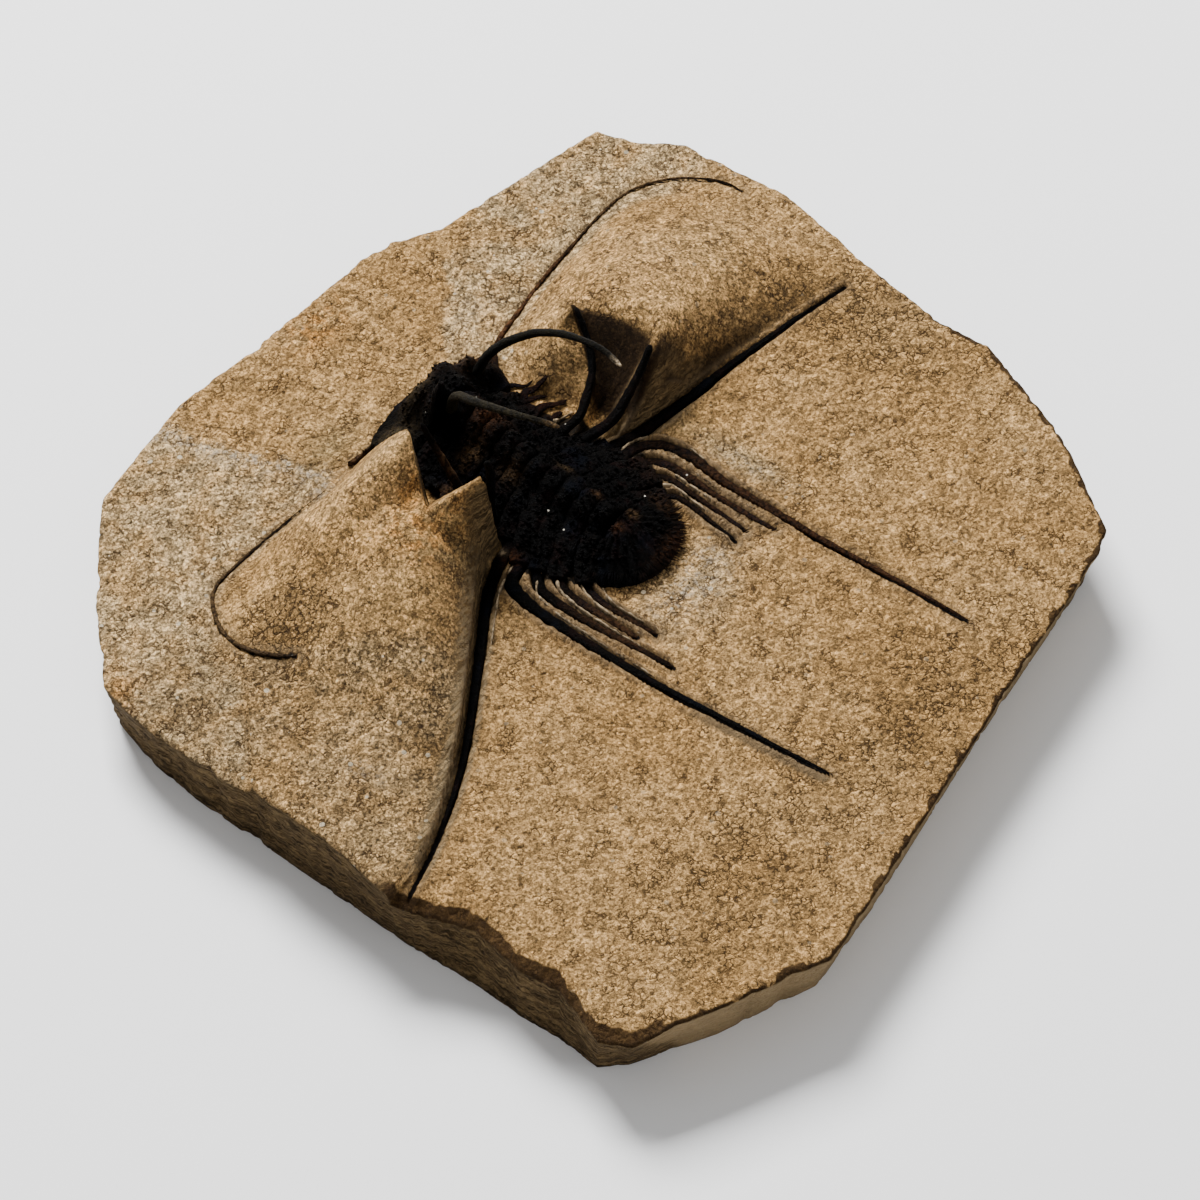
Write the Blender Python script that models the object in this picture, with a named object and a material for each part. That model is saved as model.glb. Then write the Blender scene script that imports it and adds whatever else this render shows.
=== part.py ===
"""Spiny fossil trilobite prepared on its block of limestone.

The block is one stone: flat underneath, broken round the edge, with two steep hills that were left
standing beside the animal to hold the tips of its raised spines. The shell of the trilobite is jointed,
so the head shield, the ten body segments and the tail shield are separate solids.

Lengths are millimetres in the plane of the slab. +Y points to the animal's head, +X to its right, and
heights are measured from the bedding plane behind the animal. mm() turns them into metres.
"""

import math

import bmesh
import bpy
from mathutils import Vector
from mathutils.bvhtree import BVHTree

# ---- driving dimensions, mm ----
PLANE = 12.75            # thickness of the slab at the bedding plane
GAP = 0.3                # clearance between one solid and the next
STONE_NET = 1.3          # cell of the net on which the stone's surface is shaped
STONE_KEEP = 0.2         # share of that net which is kept after thinning
HEAD_NET = 1.5           # cell of the net of the head shield
MIDDLE = (2.05, -0.35)   # centre of the slab's outline, which becomes the origin
ABOVE_ALL = 60.0         # height that clears the whole specimen

SEGMENTS = 10
PITCH = 3.03             # from one body segment to the next
FIRST = 30.2             # where the first segment crosses the midline, along Y
FIRST_HEIGHT = 9.6       # of the first segment's axis
HEIGHT_LOSS = 0.42       # from one segment to the next
AXIS_SHARE = 0.3         # share of a segment's half width that is its raised axis

# Broken outline of the slab: x, y of the upper edge, and how far the side is undercut below it.
OUTLINE = [
    (-33.0, 69.3, 1.0), (-11.7, 70.6, 1.0), (3.3, 67.6, 1.2), (26.2, 64.8, 1.5), (32.0, 63.4, 1.5),
    (38.7, 58.8, 1.2), (57.7, 54.2, 1.2), (69.4, 51.2, 1.5), (70.8, 45.4, 1.2), (75.0, 38.0, 1.5),
    (75.9, 20.0, 1.5), (72.0, 3.1, 1.2), (68.8, -14.7, 1.2), (69.3, -22.8, 1.5), (61.2, -42.4, 1.5),
    (50.0, -58.2, 2.9), (45.3, -59.9, 3.8), (17.3, -63.4, 3.6), (-22.4, -69.0, 3.7), (-40.1, -71.3, 4.8),
    (-56.4, -63.6, 4.2), (-69.9, -56.8, 5.4), (-71.8, -52.0, 3.6), (-67.6, -42.0, -0.6), (-68.2, -35.0, 0.1),
    (-65.9, -25.5, -1.7), (-69.0, -16.5, 1.6), (-70.0, -12.4, 3.0), (-67.6, 0.0, 1.3), (-66.2, 14.0, 0.9),
    (-65.4, 28.0, 1.1), (-64.4, 38.0, 1.8), (-61.6, 46.8, 2.1), (-50.2, 57.2, 0.8), (-39.0, 65.3, 0.8),
]

# Seams of the two hills: the cheek spines run along their front feet, the long side spines behind them.
FRONT_LEFT = [(-70.0, 12.0), (-58.0, 22.0), (-50.0, 29.0), (-45.3, 36.5), (-41.3, 41.9), (-37.5, 43.3),
              (-26.2, 42.5), (-12.6, 40.6), (-5.0, 40.8)]
BACK_LEFT = [(-72.0, -12.6), (-62.0, -12.2), (-54.1, -9.9), (-40.5, -3.9), (-32.3, 0.8), (-24.1, 5.7),
             (-16.2, 10.6), (-10.4, 13.4), (-5.0, 14.0)]
FRONT_RIGHT = [(18.0, 36.6), (26.4, 37.3), (40.1, 39.0), (54.2, 39.5), (60.2, 39.1), (64.3, 37.3),
               (68.0, 34.2), (70.7, 30.5), (72.5, 26.0)]
BACK_RIGHT = [(18.0, 11.0), (26.7, 9.8), (42.0, 7.7), (50.1, 6.2), (58.3, 4.5), (66.0, 2.6), (76.0, 0.5)]

# Height of each hill's crest along X, and how far the crest stands in front of the rear seam.
CREST_LEFT = [(-72.0, 1.8), (-50.0, 1.9), (-45.5, 2.2), (-43.0, 4.0), (-38.0, 6.4), (-30.0, 9.4),
              (-18.0, 13.2), (-6.0, 15.5)]
CREST_RIGHT = [(18.0, 10.0), (30.0, 11.8), (37.5, 11.3), (45.0, 9.6), (52.5, 7.2), (60.0, 4.4),
               (67.0, 1.7), (71.5, 0.2), (76.0, 0.0)]
REAR_LEFT = [(-72.0, 12.0), (-45.0, 14.0), (-24.0, 12.5), (-17.5, 10.5), (-13.4, 7.0), (-8.0, 2.6)]
REAR_RIGHT = [(28.0, 3.6), (31.2, 4.2), (36.0, 7.0), (42.0, 10.0), (50.0, 13.0), (60.0, 14.0), (76.0, 12.0)]

# Peaks of the left hill: x, y, height, and how its ridge leans forward going outwards. Then the notch between
# them, and where the inner walls of the hills stand: x at each y.
LEFT_PEAKS = [(-7.0, 29.8, 16.3, 0.1), (-7.9, 16.2, 16.3, 0.45)]
LEFT_VALLEY = (-7.5, 26.2, 2.4)
LEFT_WALL = [(13.0, -6.6), (18.0, -6.5), (22.5, -6.6), (26.2, -7.2), (29.5, -6.0), (34.0, -5.6), (41.0, -4.6)]
RIGHT_RIM = [(9.0, 31.0), (13.0, 31.3), (17.7, 32.2), (22.5, 31.6), (27.0, 30.4), (31.0, 31.6), (36.0, 34.5)]
HOLLOW = 3.4             # how much further back the right rim stands between the two ridges
WALL_SLOPE = 10.0        # rise over run of the left hill's inner wall
RIM_HEIGHT = 11.4        # height of the right hill at its rim above the trough, mm
RIM_SLOPE = 1.15         # of the right hill's inner wall
FRONT_SLOPE = 1.7        # of the hills' front feet
REAR_SLOPE = 9.0         # of the bank along their rear seams
REAR_BANK = 3.2          # height of that bank on the left hill
PEAK_SLOPE = 1.35        # around the peaks
PEAK_ROUND = 1.4         # rounding of their tips
RAMP_SLOPE = 1.8         # of the two ridges that carry the right raised spines
RIGHT_RAMPS = [
    [(17.0, 17.4, 0.6), (21.4, 18.3, 2.4), (25.9, 20.1, 4.1), (28.6, 23.8, 7.1), (30.2, 27.1, 12.0)],
    [(19.0, 13.9, 0.4), (24.0, 13.6, 3.8), (28.5, 13.7, 7.0), (31.2, 13.2, 10.7)],
]

# Midline of the animal, which bends a little to the right in front: x at each y.
MIDLINE = [(-12.0, 5.0), (6.0, 5.0), (15.0, 5.4), (22.5, 6.4), (31.0, 8.0), (42.0, 9.8)]

# Margins of the body segments, front to back: x on the left, x on the right, backward sweep on each side.
MARGINS = [
    (-3.9, 18.2, 0.3, 0.4), (-4.0, 17.4, 0.3, 0.4), (-4.2, 17.0, 0.4, 0.8), (-4.2, 16.4, 0.9, 1.2),
    (-4.3, 17.4, 1.5, 1.6), (-5.6, 18.2, 2.6, 2.1), (-8.2, 18.2, 3.6, 2.6), (-7.8, 18.6, 3.4, 3.1),
    (-7.2, 17.6, 3.7, 3.3), (-5.6, 15.6, 4.2, 3.8),
]

# Spines of the segments: points beyond the margin as x, y or, for the raised ones, x, y, height.
LEFT_SPINES = [
    [(-4.8, 32.5)],
    [(-5.0, 29.2)],
    [(-5.3, 26.2)],
    [(-4.4, 22.4, 4.0), (-4.4, 25.2, 8.0), (-4.8, 27.6, 12.4), (-5.6, 29.2, 17.0)],
    [(-4.5, 17.4, 4.6), (-4.6, 17.1, 9.0), (-5.0, 16.7, 13.2), (-6.2, 16.4, 17.6)],
    [(-10.4, 11.6), (-16.2, 9.2), (-24.1, 4.5), (-32.3, -0.3), (-40.5, -4.9), (-47.3, -8.2), (-54.1, -10.8),
     (-58.5, -12.4)],
    [(-11.6, 8.0), (-13.1, 4.2), (-13.9, -2.0), (-14.2, -10.0), (-14.3, -21.0), (-13.7, -34.0),
     (-13.2, -45.0), (-12.8, -51.5)],
    [(-9.7, 4.2), (-10.6, 0.0), (-10.8, -6.0), (-10.6, -13.0), (-10.3, -21.0)],
    [(-8.0, 0.4), (-8.5, -3.0), (-8.7, -8.0), (-8.9, -13.4)],
    [(-6.1, -3.2), (-6.6, -6.0), (-6.7, -10.0), (-6.7, -15.4)],
]
RIGHT_SPINES = [
    [(20.4, 27.1), (22.4, 26.0)],
    [(19.4, 23.6), (21.4, 21.9)],
    [(18.6, 21.8), (19.8, 21.0)],
    [(18.8, 17.7, 2.9), (21.6, 18.4, 4.2), (25.4, 20.0, 5.9), (27.9, 22.6, 8.6), (29.6, 26.2, 12.4)],
    [(20.9, 13.6, 3.2), (24.4, 13.4, 6.0), (28.3, 13.5, 9.2), (30.8, 13.1, 11.9)],
    [(22.5, 10.0), (26.7, 9.0), (35.1, 7.5), (42.0, 6.5), (50.1, 4.9), (58.3, 3.2)],
    [(21.4, 7.8), (23.6, 4.8), (24.1, 0.2), (23.2, -7.0), (23.0, -16.0), (22.8, -26.0), (23.0, -36.0),
     (23.0, -44.0), (23.0, -51.5)],
    [(20.2, 4.2), (20.9, 0.8), (20.5, -5.0), (20.1, -12.0), (20.2, -18.0)],
    [(18.6, 1.2), (18.7, -1.8), (18.1, -7.5), (17.4, -14.6)],
    [(16.6, -2.2), (16.5, -5.0), (15.8, -9.2), (14.9, -14.4)],
]
SPINE_HALF_WIDTHS = [0.9, 0.8, 0.7, 0.75, 0.85, 0.95, 1.05, 0.72, 0.62, 0.6]

# Head shield: its outline, and its swellings as x, y, height, radius across, radius along.
HEAD = [(-4.2, 40.6), (-1.0, 41.4), (5.0, 42.2), (11.0, 41.6), (16.6, 39.2), (20.4, 37.6), (22.6, 36.6),
        (20.9, 34.4), (19.6, 32.2), (18.8, 30.3), (14.0, 31.0), (8.2, 32.1), (2.0, 33.2), (-3.4, 34.2),
        (-3.9, 36.6)]
HEAD_REAR = slice(10, 13)
HEAD_SWELLINGS = [(9.0, 33.4, 9.6, 3.8, 4.6), (10.2, 38.0, 5.4, 2.7, 2.4), (4.4, 36.4, 6.4, 2.4, 3.0),
                  (-0.8, 36.8, 3.6, 2.2, 2.8), (14.4, 35.0, 6.2, 2.2, 2.8), (18.4, 34.0, 3.2, 2.2, 2.6)]
CHEEK_SPINES = [
    [(-2.6, 40.2), (-6.0, 41.4), (-12.6, 41.6), (-19.6, 42.6), (-26.2, 43.4), (-32.8, 44.1), (-38.2, 44.2),
     (-42.2, 42.4), (-45.0, 39.4), (-46.2, 34.6), (-45.0, 30.2), (-41.8, 26.5)],
    [(19.6, 36.2), (26.4, 38.2), (32.7, 39.0), (40.1, 39.9), (47.4, 40.2), (54.2, 40.4), (60.4, 40.0),
     (65.0, 38.1), (68.8, 34.8), (71.4, 30.7), (72.4, 27.4), (72.0, 25.1)],
]
HORNS = [
    [(4.6, 34.2, 7.0), (3.6, 32.9, 12.0), (3.1, 29.8, 14.8), (2.2, 26.1, 17.0), (1.7, 22.8, 18.7),
     (1.5, 16.5, 21.0), (2.0, 12.5, 21.9), (2.6, 9.3, 22.2)],
    [(14.0, 33.2, 7.0), (14.9, 31.8, 11.2), (16.2, 29.5, 14.5), (17.4, 26.9, 16.8), (18.3, 24.6, 18.3),
     (18.9, 20.9, 20.0), (18.9, 16.8, 21.3), (18.7, 12.9, 22.0), (17.6, 8.9, 22.2)],
]

HORN_HALF_WIDTH = 0.95
CHEEK_SPINE_HALF_WIDTH = 0.55

# Tail shield: half width, reach behind its widest place, height, and the teeth of its fringe.
TAIL_HALF_WIDTH = 9.8
TAIL_LENGTH = 7.2
TAIL_WIDEST = -1.6
TAIL_HEIGHT = 5.2
TAIL_TEETH = 13

MATRIX_COLOUR = (0.48, 0.36, 0.22)
SHELL_COLOUR = (0.018, 0.014, 0.012)


# ---- small helpers ----
def mm(x, y, height=0.0):
    """A point in metres, height counted from the bedding plane."""
    return Vector((x - MIDDLE[0], y - MIDDLE[1], height + PLANE)) * 0.001


def at(line, x):
    """Value of a broken line, given as (x, value) pairs in rising x."""
    if x <= line[0][0]:
        return line[0][1]
    for (x0, v0), (x1, v1) in zip(line, line[1:]):
        if x <= x1:
            return v0 + (v1 - v0) * (x - x0) / (x1 - x0)
    return line[-1][1]


def step(low, high, x):
    """Smooth step from 0 at low to 1 at high."""
    t = min(1.0, max(0.0, (x - low) / (high - low)))
    return t * t * (3.0 - 2.0 * t)


def to_line(points, x, y):
    """Distance in plan from (x, y) to a broken line, and the height of the line there."""
    best = (1e9, 0.0)
    for a, b in zip(points, points[1:]):
        ax, ay = b[0] - a[0], b[1] - a[1]
        t = ((x - a[0]) * ax + (y - a[1]) * ay) / (ax * ax + ay * ay)
        t = min(1.0, max(0.0, t))
        away = math.hypot(x - a[0] - t * ax, y - a[1] - t * ay)
        if away < best[0]:
            height = a[2] + t * (b[2] - a[2]) if len(a) > 2 else 0.0
            best = (away, height)
    return best


def material(name, colour, roughness):
    made = bpy.data.materials.new(name)
    made.use_nodes = True
    shader = made.node_tree.nodes["Principled BSDF"]
    shader.inputs["Base Color"].default_value = (*colour, 1.0)
    shader.inputs["Roughness"].default_value = roughness
    shader.inputs["Metallic"].default_value = 0.0
    made.diffuse_color = (*colour, 1.0)
    return made


def add_object(name, bm, finish, smooth_below=40.0):
    bmesh.ops.recalc_face_normals(bm, faces=bm.faces)
    mesh = bpy.data.meshes.new(name)
    bm.to_mesh(mesh)
    bm.free()
    mesh.shade_smooth()
    mesh.set_sharp_from_angle(angle=math.radians(smooth_below))
    mesh.materials.append(finish)
    made = bpy.data.objects.new(name, mesh)
    bpy.context.collection.objects.link(made)
    return made


# ---- surface of the stone ----
def arch(seam_back, seam_front, rear, y):
    """Shares of a hill's height behind its crest and in front of it; rear is the width behind the crest."""
    behind = min(1.0, (y - seam_back) / rear)
    ahead = min(1.0, (seam_front - y) / (seam_front - seam_back - rear))
    return 1.0 - (1.0 - behind) ** 1.75, 1.0 - (1.0 - ahead) ** 2.2


def lie_of_land(x, y):
    """The slab falls away gently towards its front left corner."""
    return -5.5 * step(0.0, 1.6, (-0.55 * x + 0.75 * y - 30.0) / 55.0)


def left_hill(x, y):
    back, front = at(BACK_LEFT, x), at(FRONT_LEFT, x)
    if not back < y < front or x > 0.0:
        return 0.0
    behind, ahead = arch(back, front, at(REAR_LEFT, x), y)
    hill = at(CREST_LEFT, x) * ahead
    for px, py, top, lean in LEFT_PEAKS:
        outwards = max(0.0, px - x)
        away = math.hypot(0.4 * outwards + max(0.0, x - px), y - py - lean * outwards)
        hill = max(hill, top + PEAK_ROUND - math.hypot(PEAK_ROUND, PEAK_SLOPE * away))
    vx, vy, floor = LEFT_VALLEY
    side = 3.2 * (y - vy) if y > vy else 1.4 * (vy - y)
    hill = min(hill, floor + 1.1 * max(0.0, vx - x) + side)
    bank = min(hill, REAR_BANK)
    hill = bank + (hill - bank) * behind
    wall = WALL_SLOPE * max(0.0, at(LEFT_WALL, y) - x)
    hill = min(hill, REAR_SLOPE * (y - back), FRONT_SLOPE * (front - y) + 0.2, wall)
    block = 1.8 * step(-38.0, -62.0, x)
    return max(hill, block, 0.0)


def hollow(x, y):
    """1 in the hollow between the two ridges of the right hill, 0 beyond them."""
    ahead = at([point[:2] for point in RIGHT_RAMPS[0]], x)
    behind = at([point[:2] for point in RIGHT_RAMPS[1]], x)
    return step(-0.3, 1.8, ahead - y) * step(-0.3, 1.8, y - behind)


def right_hill(x, y):
    back, front = at(BACK_RIGHT, x), at(FRONT_RIGHT, x)
    if not back < y < front or x < 15.0:
        return 0.0
    hill = at(CREST_RIGHT, x) * min(arch(back, front, at(REAR_RIGHT, x), y))
    rim = at(RIGHT_RIM, y) + HOLLOW * hollow(x, y)
    hill = min(hill, RIM_HEIGHT - RIM_SLOPE * (rim - x))
    for ramp in RIGHT_RAMPS:
        away, height = to_line(ramp, x, y)
        hill = max(hill, height - RAMP_SLOPE * away)
    hill = min(hill, REAR_SLOPE * (y - back), FRONT_SLOPE * (front - y) + 0.2)
    return max(hill, 0.0)


def stone(x, y):
    return lie_of_land(x, y) + left_hill(x, y) + right_hill(x, y)


# ---- ways of making the solids ----
def plate(outline, lower, floor, cell, surface):
    """Closed slab: lower outline at height floor, upper outline and top shaped by surface(x, y)."""
    bm = bmesh.new()
    base = bm.faces.new([bm.verts.new(mm(x, y, floor)) for x, y in lower])
    top = bmesh.ops.extrude_face_region(bm, geom=[base])["geom"]
    level = (PLANE + ABOVE_ALL) * 0.001
    places = {tuple(mm(x, y, floor)): mm(*upper) for (x, y), upper in zip(lower, outline)}
    for vert in top:
        if isinstance(vert, bmesh.types.BMVert):
            vert.co = places[tuple(vert.co)]
            vert.co.z = level
    low = mm(min(p[0] for p in outline), min(p[1] for p in outline))
    high = mm(max(p[0] for p in outline), max(p[1] for p in outline))
    for axis in (0, 1):
        count = round((high[axis] - low[axis]) * 1000.0 / cell)
        for i in range(1, count):
            spot = Vector((0.0, 0.0, 0.0))
            spot[axis] = low[axis] + (high[axis] - low[axis]) * i / count
            normal = Vector((1.0 - axis, axis, 0.0))
            faces = [f for f in bm.faces if all(abs(v.co.z - level) < 1e-7 for v in f.verts)]
            edges = {e for f in faces for e in f.edges}
            verts = {v for f in faces for v in f.verts}
            piece = [*faces, *edges, *verts]
            bmesh.ops.bisect_plane(bm, geom=piece, dist=1e-6, plane_co=spot, plane_no=normal)
    for vert in bm.verts:
        if abs(vert.co.z - level) < 1e-7:
            x, y = vert.co.x * 1000.0 + MIDDLE[0], vert.co.y * 1000.0 + MIDDLE[1]
            vert.co.z = (surface(x, y) + PLANE) * 0.001
    bmesh.ops.triangulate(bm, faces=bm.faces)
    return bm


def join_rings(bm, first, second):
    """Faces between two closed rings that have equally many corners."""
    for k in range(len(first)):
        n = (k + 1) % len(first)
        bm.faces.new((first[k], first[n], second[n], second[k]))


def section(half_width, half_height):
    """Outline across a band: flat below, with rounded shoulders above."""
    shoulder = half_height - min(0.75 * half_height, 0.0005)
    return [(-half_width, -half_height), (half_width, -half_height), (half_width, shoulder),
            (0.5 * half_width, half_height), (-0.5 * half_width, half_height), (-half_width, shoulder)]


def band(bm, stations):
    """Closed band through stations of (centre, half width, half height, upright), in metres."""
    rings = []
    side = Vector((0.0, 1.0, 0.0))
    for i, (centre, half_width, half_height, upright) in enumerate(stations):
        before, after = stations[max(0, i - 1)][0], stations[min(len(stations) - 1, i + 1)][0]
        along = (after - before).normalized()
        level = Vector((along.x, along.y, 0.0))
        if level.length > 0.15:
            side = Vector((0.0, 0.0, 1.0)).cross(level).normalized()
        up = Vector((0.0, 0.0, 1.0)) if upright else along.cross(side).normalized()
        rings.append([bm.verts.new(centre + side * a + up * b) for a, b in section(half_width, half_height)])
    for first, second in zip(rings, rings[1:]):
        join_rings(bm, first, second)
    bm.faces.new(rings[0])
    bm.faces.new(rings[-1])


def inset_point(points, i, amount):
    """Point i of a closed outline, moved inwards by amount along the mean of its two sides' normals."""
    (ax, ay), (bx, by), (cx, cy) = points[i - 1], points[i], points[(i + 1) % len(points)]
    first = Vector((by - ay, ax - bx)).normalized()
    second = Vector((cy - by, bx - cx)).normalized()
    inward = (first + second).normalized()
    return bx + inward.x * amount, by + inward.y * amount


# ---- matrix: the block of limestone ----
def make_matrix(finish):
    upper = [(x, y) for x, y, undercut in OUTLINE]
    lower = [inset_point(upper, i, OUTLINE[i][2]) for i in range(len(upper))]
    bm = plate(upper, lower, -PLANE, STONE_NET, stone)
    made = add_object("matrix", bm, finish, 55.0)
    thin = made.modifiers.new("thin_out", "DECIMATE")
    thin.ratio = STONE_KEEP
    group = made.vertex_groups.new(name="upper")
    group.add([v.index for v in made.data.vertices if v.co.z > 0.003], 1.0, "REPLACE")
    thin.vertex_group = group.name
    return made


def surface_of(block):
    """Ray-cast tree of the finished stone."""
    return BVHTree.FromObject(block, bpy.context.evaluated_depsgraph_get())


def clear_of(tree, x, y, reach_x, reach_y):
    """Height at which something of these half widths clears the stone by GAP."""
    best = -PLANE
    for dx in (-reach_x, 0.0, reach_x):
        for dy in (-reach_y, 0.0, reach_y):
            start = mm(x + dx, y + dy, ABOVE_ALL)
            hit = tree.ray_cast(start, Vector((0.0, 0.0, -1.0)))[0]
            if hit is not None:
                best = max(best, hit.z * 1000.0 - PLANE)
    return best + GAP


def between(p, q, r, s, t):
    """Value at t from q to r on the smooth curve through p, q, r and s."""
    square = (2.0 * p - 5.0 * q + 4.0 * r - s) * t ** 2
    cube = (3.0 * q - p - 3.0 * r + s) * t ** 3
    return 0.5 * (2.0 * q + (r - p) * t + square + cube)


def curve(points, spacing):
    """Points of the smooth curve through the given ones, no further apart than spacing."""
    out = [points[0]]
    padded = [points[0], *points, points[-1]]
    for a, b, c, d in zip(padded, padded[1:], padded[2:], padded[3:]):
        count = max(1, math.ceil(math.dist(b, c) / spacing))
        for k in range(1, count + 1):
            out.append(tuple(between(*corners, k / count) for corners in zip(a, b, c, d)))
    return out


def laid_spine(tree, root, points, half_width, spacing=4.5):
    """Stations of a spine that lies on the stone and tapers to a point; root is where it leaves the shell."""
    route = curve([root, *points], spacing)[1:]
    stations = []
    for i, (x, y) in enumerate(route):
        share = 1.0 - 0.72 * i / max(1, len(route) - 1)
        half = half_width * share
        height = clear_of(tree, x, y, half + 0.2, half + 0.2) + 0.7 * half
        stations.append((mm(x, y, height), half * 0.001, 0.7 * half * 0.001, True))
    return stations


def raised_spine(root, points, half_width, spacing=3.2):
    """Stations of a spine that rises free of the stone; root is where it leaves the shell."""
    route = curve([root, *points], spacing)[1:]
    stations = []
    for i, point in enumerate(route):
        half = half_width * (1.0 - 0.6 * (i + 1) / len(route))
        stations.append((mm(*point), half * 0.001, half * 0.001, False))
    return stations


# ---- thorax: ten segments ----
def make_segment(tree, i, finish):
    y0 = FIRST - PITCH * i
    x0 = at(MIDLINE, y0)
    lean = (at(MIDLINE, y0 + 1.0) - at(MIDLINE, y0 - 1.0)) / 2.0
    left, right, left_sweep, right_sweep = MARGINS[i]
    top = FIRST_HEIGHT - HEIGHT_LOSS * i
    half_length = (PITCH - GAP) / 2.0
    stations = []
    roots = []
    for k in range(-6, 7):
        s = k / 6.0
        edge, sweep = (left, left_sweep) if s < 0.0 else (right, right_sweep)
        x = x0 + abs(s) * (edge - x0)
        y = y0 - lean * (x - x0) - sweep * s * s
        if abs(s) < AXIS_SHARE:
            rise = top * (1.0 - 0.5 * (s / AXIS_SHARE) ** 2)
        else:
            rise = 0.62 * top * (1.0 - abs(s) ** 2.2)
        under = clear_of(tree, x, y, 0.2, half_length)
        rise = max(rise, under + 1.3)
        slant = abs(x - x0) * 2.0 * sweep / (edge - x0) ** 2 + lean * math.copysign(1.0, s)
        width = half_length / math.hypot(1.0, slant)
        if abs(s) > 0.9:
            width = max(SPINE_HALF_WIDTHS[i], 0.75 * width)
        stations.append((mm(x, y, (rise + under) / 2.0), width * 0.001, (rise - under) / 2000.0, True))
        roots.append((x, y, (rise + under) / 2.0))
    spines = []
    for root, points in ((roots[0], LEFT_SPINES[i]), (roots[-1], RIGHT_SPINES[i])):
        if len(points[0]) > 2:
            spines.append(raised_spine(root, points, SPINE_HALF_WIDTHS[i]))
        else:
            spines.append(laid_spine(tree, root[:2], points, SPINE_HALF_WIDTHS[i]))
    stations = spines[0][::-1] + stations + spines[1]
    bm = bmesh.new()
    band(bm, stations)
    return add_object(f"thorax_segment_{i + 1:02d}", bm, finish)


# ---- cephalon: the head shield with its horns and cheek spines ----
def make_head(tree, finish):
    under = max(clear_of(tree, x, y, 0.2, 0.2) for x, y in HEAD)
    free_edge = HEAD[HEAD_REAR.stop:] + HEAD[:HEAD_REAR.start]

    def surface(x, y):
        rise = sum(h * math.exp(-((x - cx) / rx) ** 2 - ((y - cy) / ry) ** 2)
                   for cx, cy, h, rx, ry in HEAD_SWELLINGS)
        edge = min(1.0, to_line(free_edge, x, y)[0] / 2.4) ** 0.7
        return under + 0.9 + rise * edge

    bm = plate(HEAD, HEAD, under, HEAD_NET, surface)
    head = add_object("cephalon", bm, finish)
    grown_spines = [raised_spine(points[0], points, HORN_HALF_WIDTH) for points in HORNS]
    grown_spines += [laid_spine(tree, points[0], points, CHEEK_SPINE_HALF_WIDTH) for points in CHEEK_SPINES]
    for k, stations in enumerate(grown_spines):
        bm = bmesh.new()
        band(bm, stations)
        name = f"head_spine_{k + 1}"
        grown = add_object(name, bm, finish)
        grown.hide_render = True
        grown.display_type = "WIRE"
        join = head.modifiers.new(name, "BOOLEAN")
        join.operation = "UNION"
        join.solver = "EXACT"
        join.object = grown
    return head


# ---- pygidium: the tail shield with its fringe ----
def make_tail(tree, finish):
    front = FIRST - PITCH * (SEGMENTS - 0.5) - GAP / 2.0
    x0 = at(MIDLINE, front)
    left_sweep, right_sweep = MARGINS[-1][2:]
    rim = []
    for i in range(2 * TAIL_TEETH + 1):
        turn = math.pi * i / (2 * TAIL_TEETH)
        reach = 1.0 if i % 2 else 0.87
        x = x0 - TAIL_HALF_WIDTH * reach * math.cos(turn)
        y = TAIL_WIDEST - TAIL_LENGTH * reach * math.sin(turn)
        rim.append((x, y, 1.0 if i % 2 else -1.0))
    for k in (6, 4, 2, 0, -2, -4, -6):
        s = k / 8.0
        sweep = (right_sweep if s > 0.0 else left_sweep) * s * s
        rim.append((x0 + s * TAIL_HALF_WIDTH, front - 1.05 * sweep, 0.0))
    under = max(clear_of(tree, x, y, 0.2, 0.2) for x, y, rib in rim)
    hub = (x0, 0.5 * (front + TAIL_WIDEST))
    bm = bmesh.new()
    rings = []
    for share in (1.0, 0.99, 0.78, 0.52, 0.26):
        height = under if share == 1.0 else under + 0.8 + (TAIL_HEIGHT - 0.8) * (1.0 - share ** 1.5)
        ribbed = 0.28 * math.sin(math.pi * share) if share < 0.99 else 0.0
        ring = []
        for x, y, rib in rim:
            spot = mm(hub[0] + (x - hub[0]) * share, hub[1] + (y - hub[1]) * share, height + ribbed * rib)
            ring.append(bm.verts.new(spot))
        rings.append(ring)
    for first, second in zip(rings, rings[1:]):
        join_rings(bm, first, second)
    bm.faces.new(rings[0])
    bm.faces.new(rings[-1])
    bmesh.ops.triangulate(bm, faces=bm.faces)
    return add_object("pygidium", bm, finish)


# ---- the whole specimen ----
for old in list(bpy.data.objects):
    bpy.data.objects.remove(old)

stone_finish = material("limestone", MATRIX_COLOUR, 0.9)
shell_finish = material("fossil_shell", SHELL_COLOUR, 0.45)

block = make_matrix(stone_finish)
ground = surface_of(block)
make_head(ground, shell_finish)
for index in range(SEGMENTS):
    make_segment(ground, index, shell_finish)
make_tail(ground, shell_finish)
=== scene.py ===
"""Spiny fossil trilobite prepared on its block of limestone."""
import random
from math import atan2, ceil, copysign, cos, dist, exp, hypot, pi, sin, sqrt

import bmesh
import bpy
from mathutils import Matrix, Vector, noise
from mathutils.kdtree import KDTree


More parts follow.
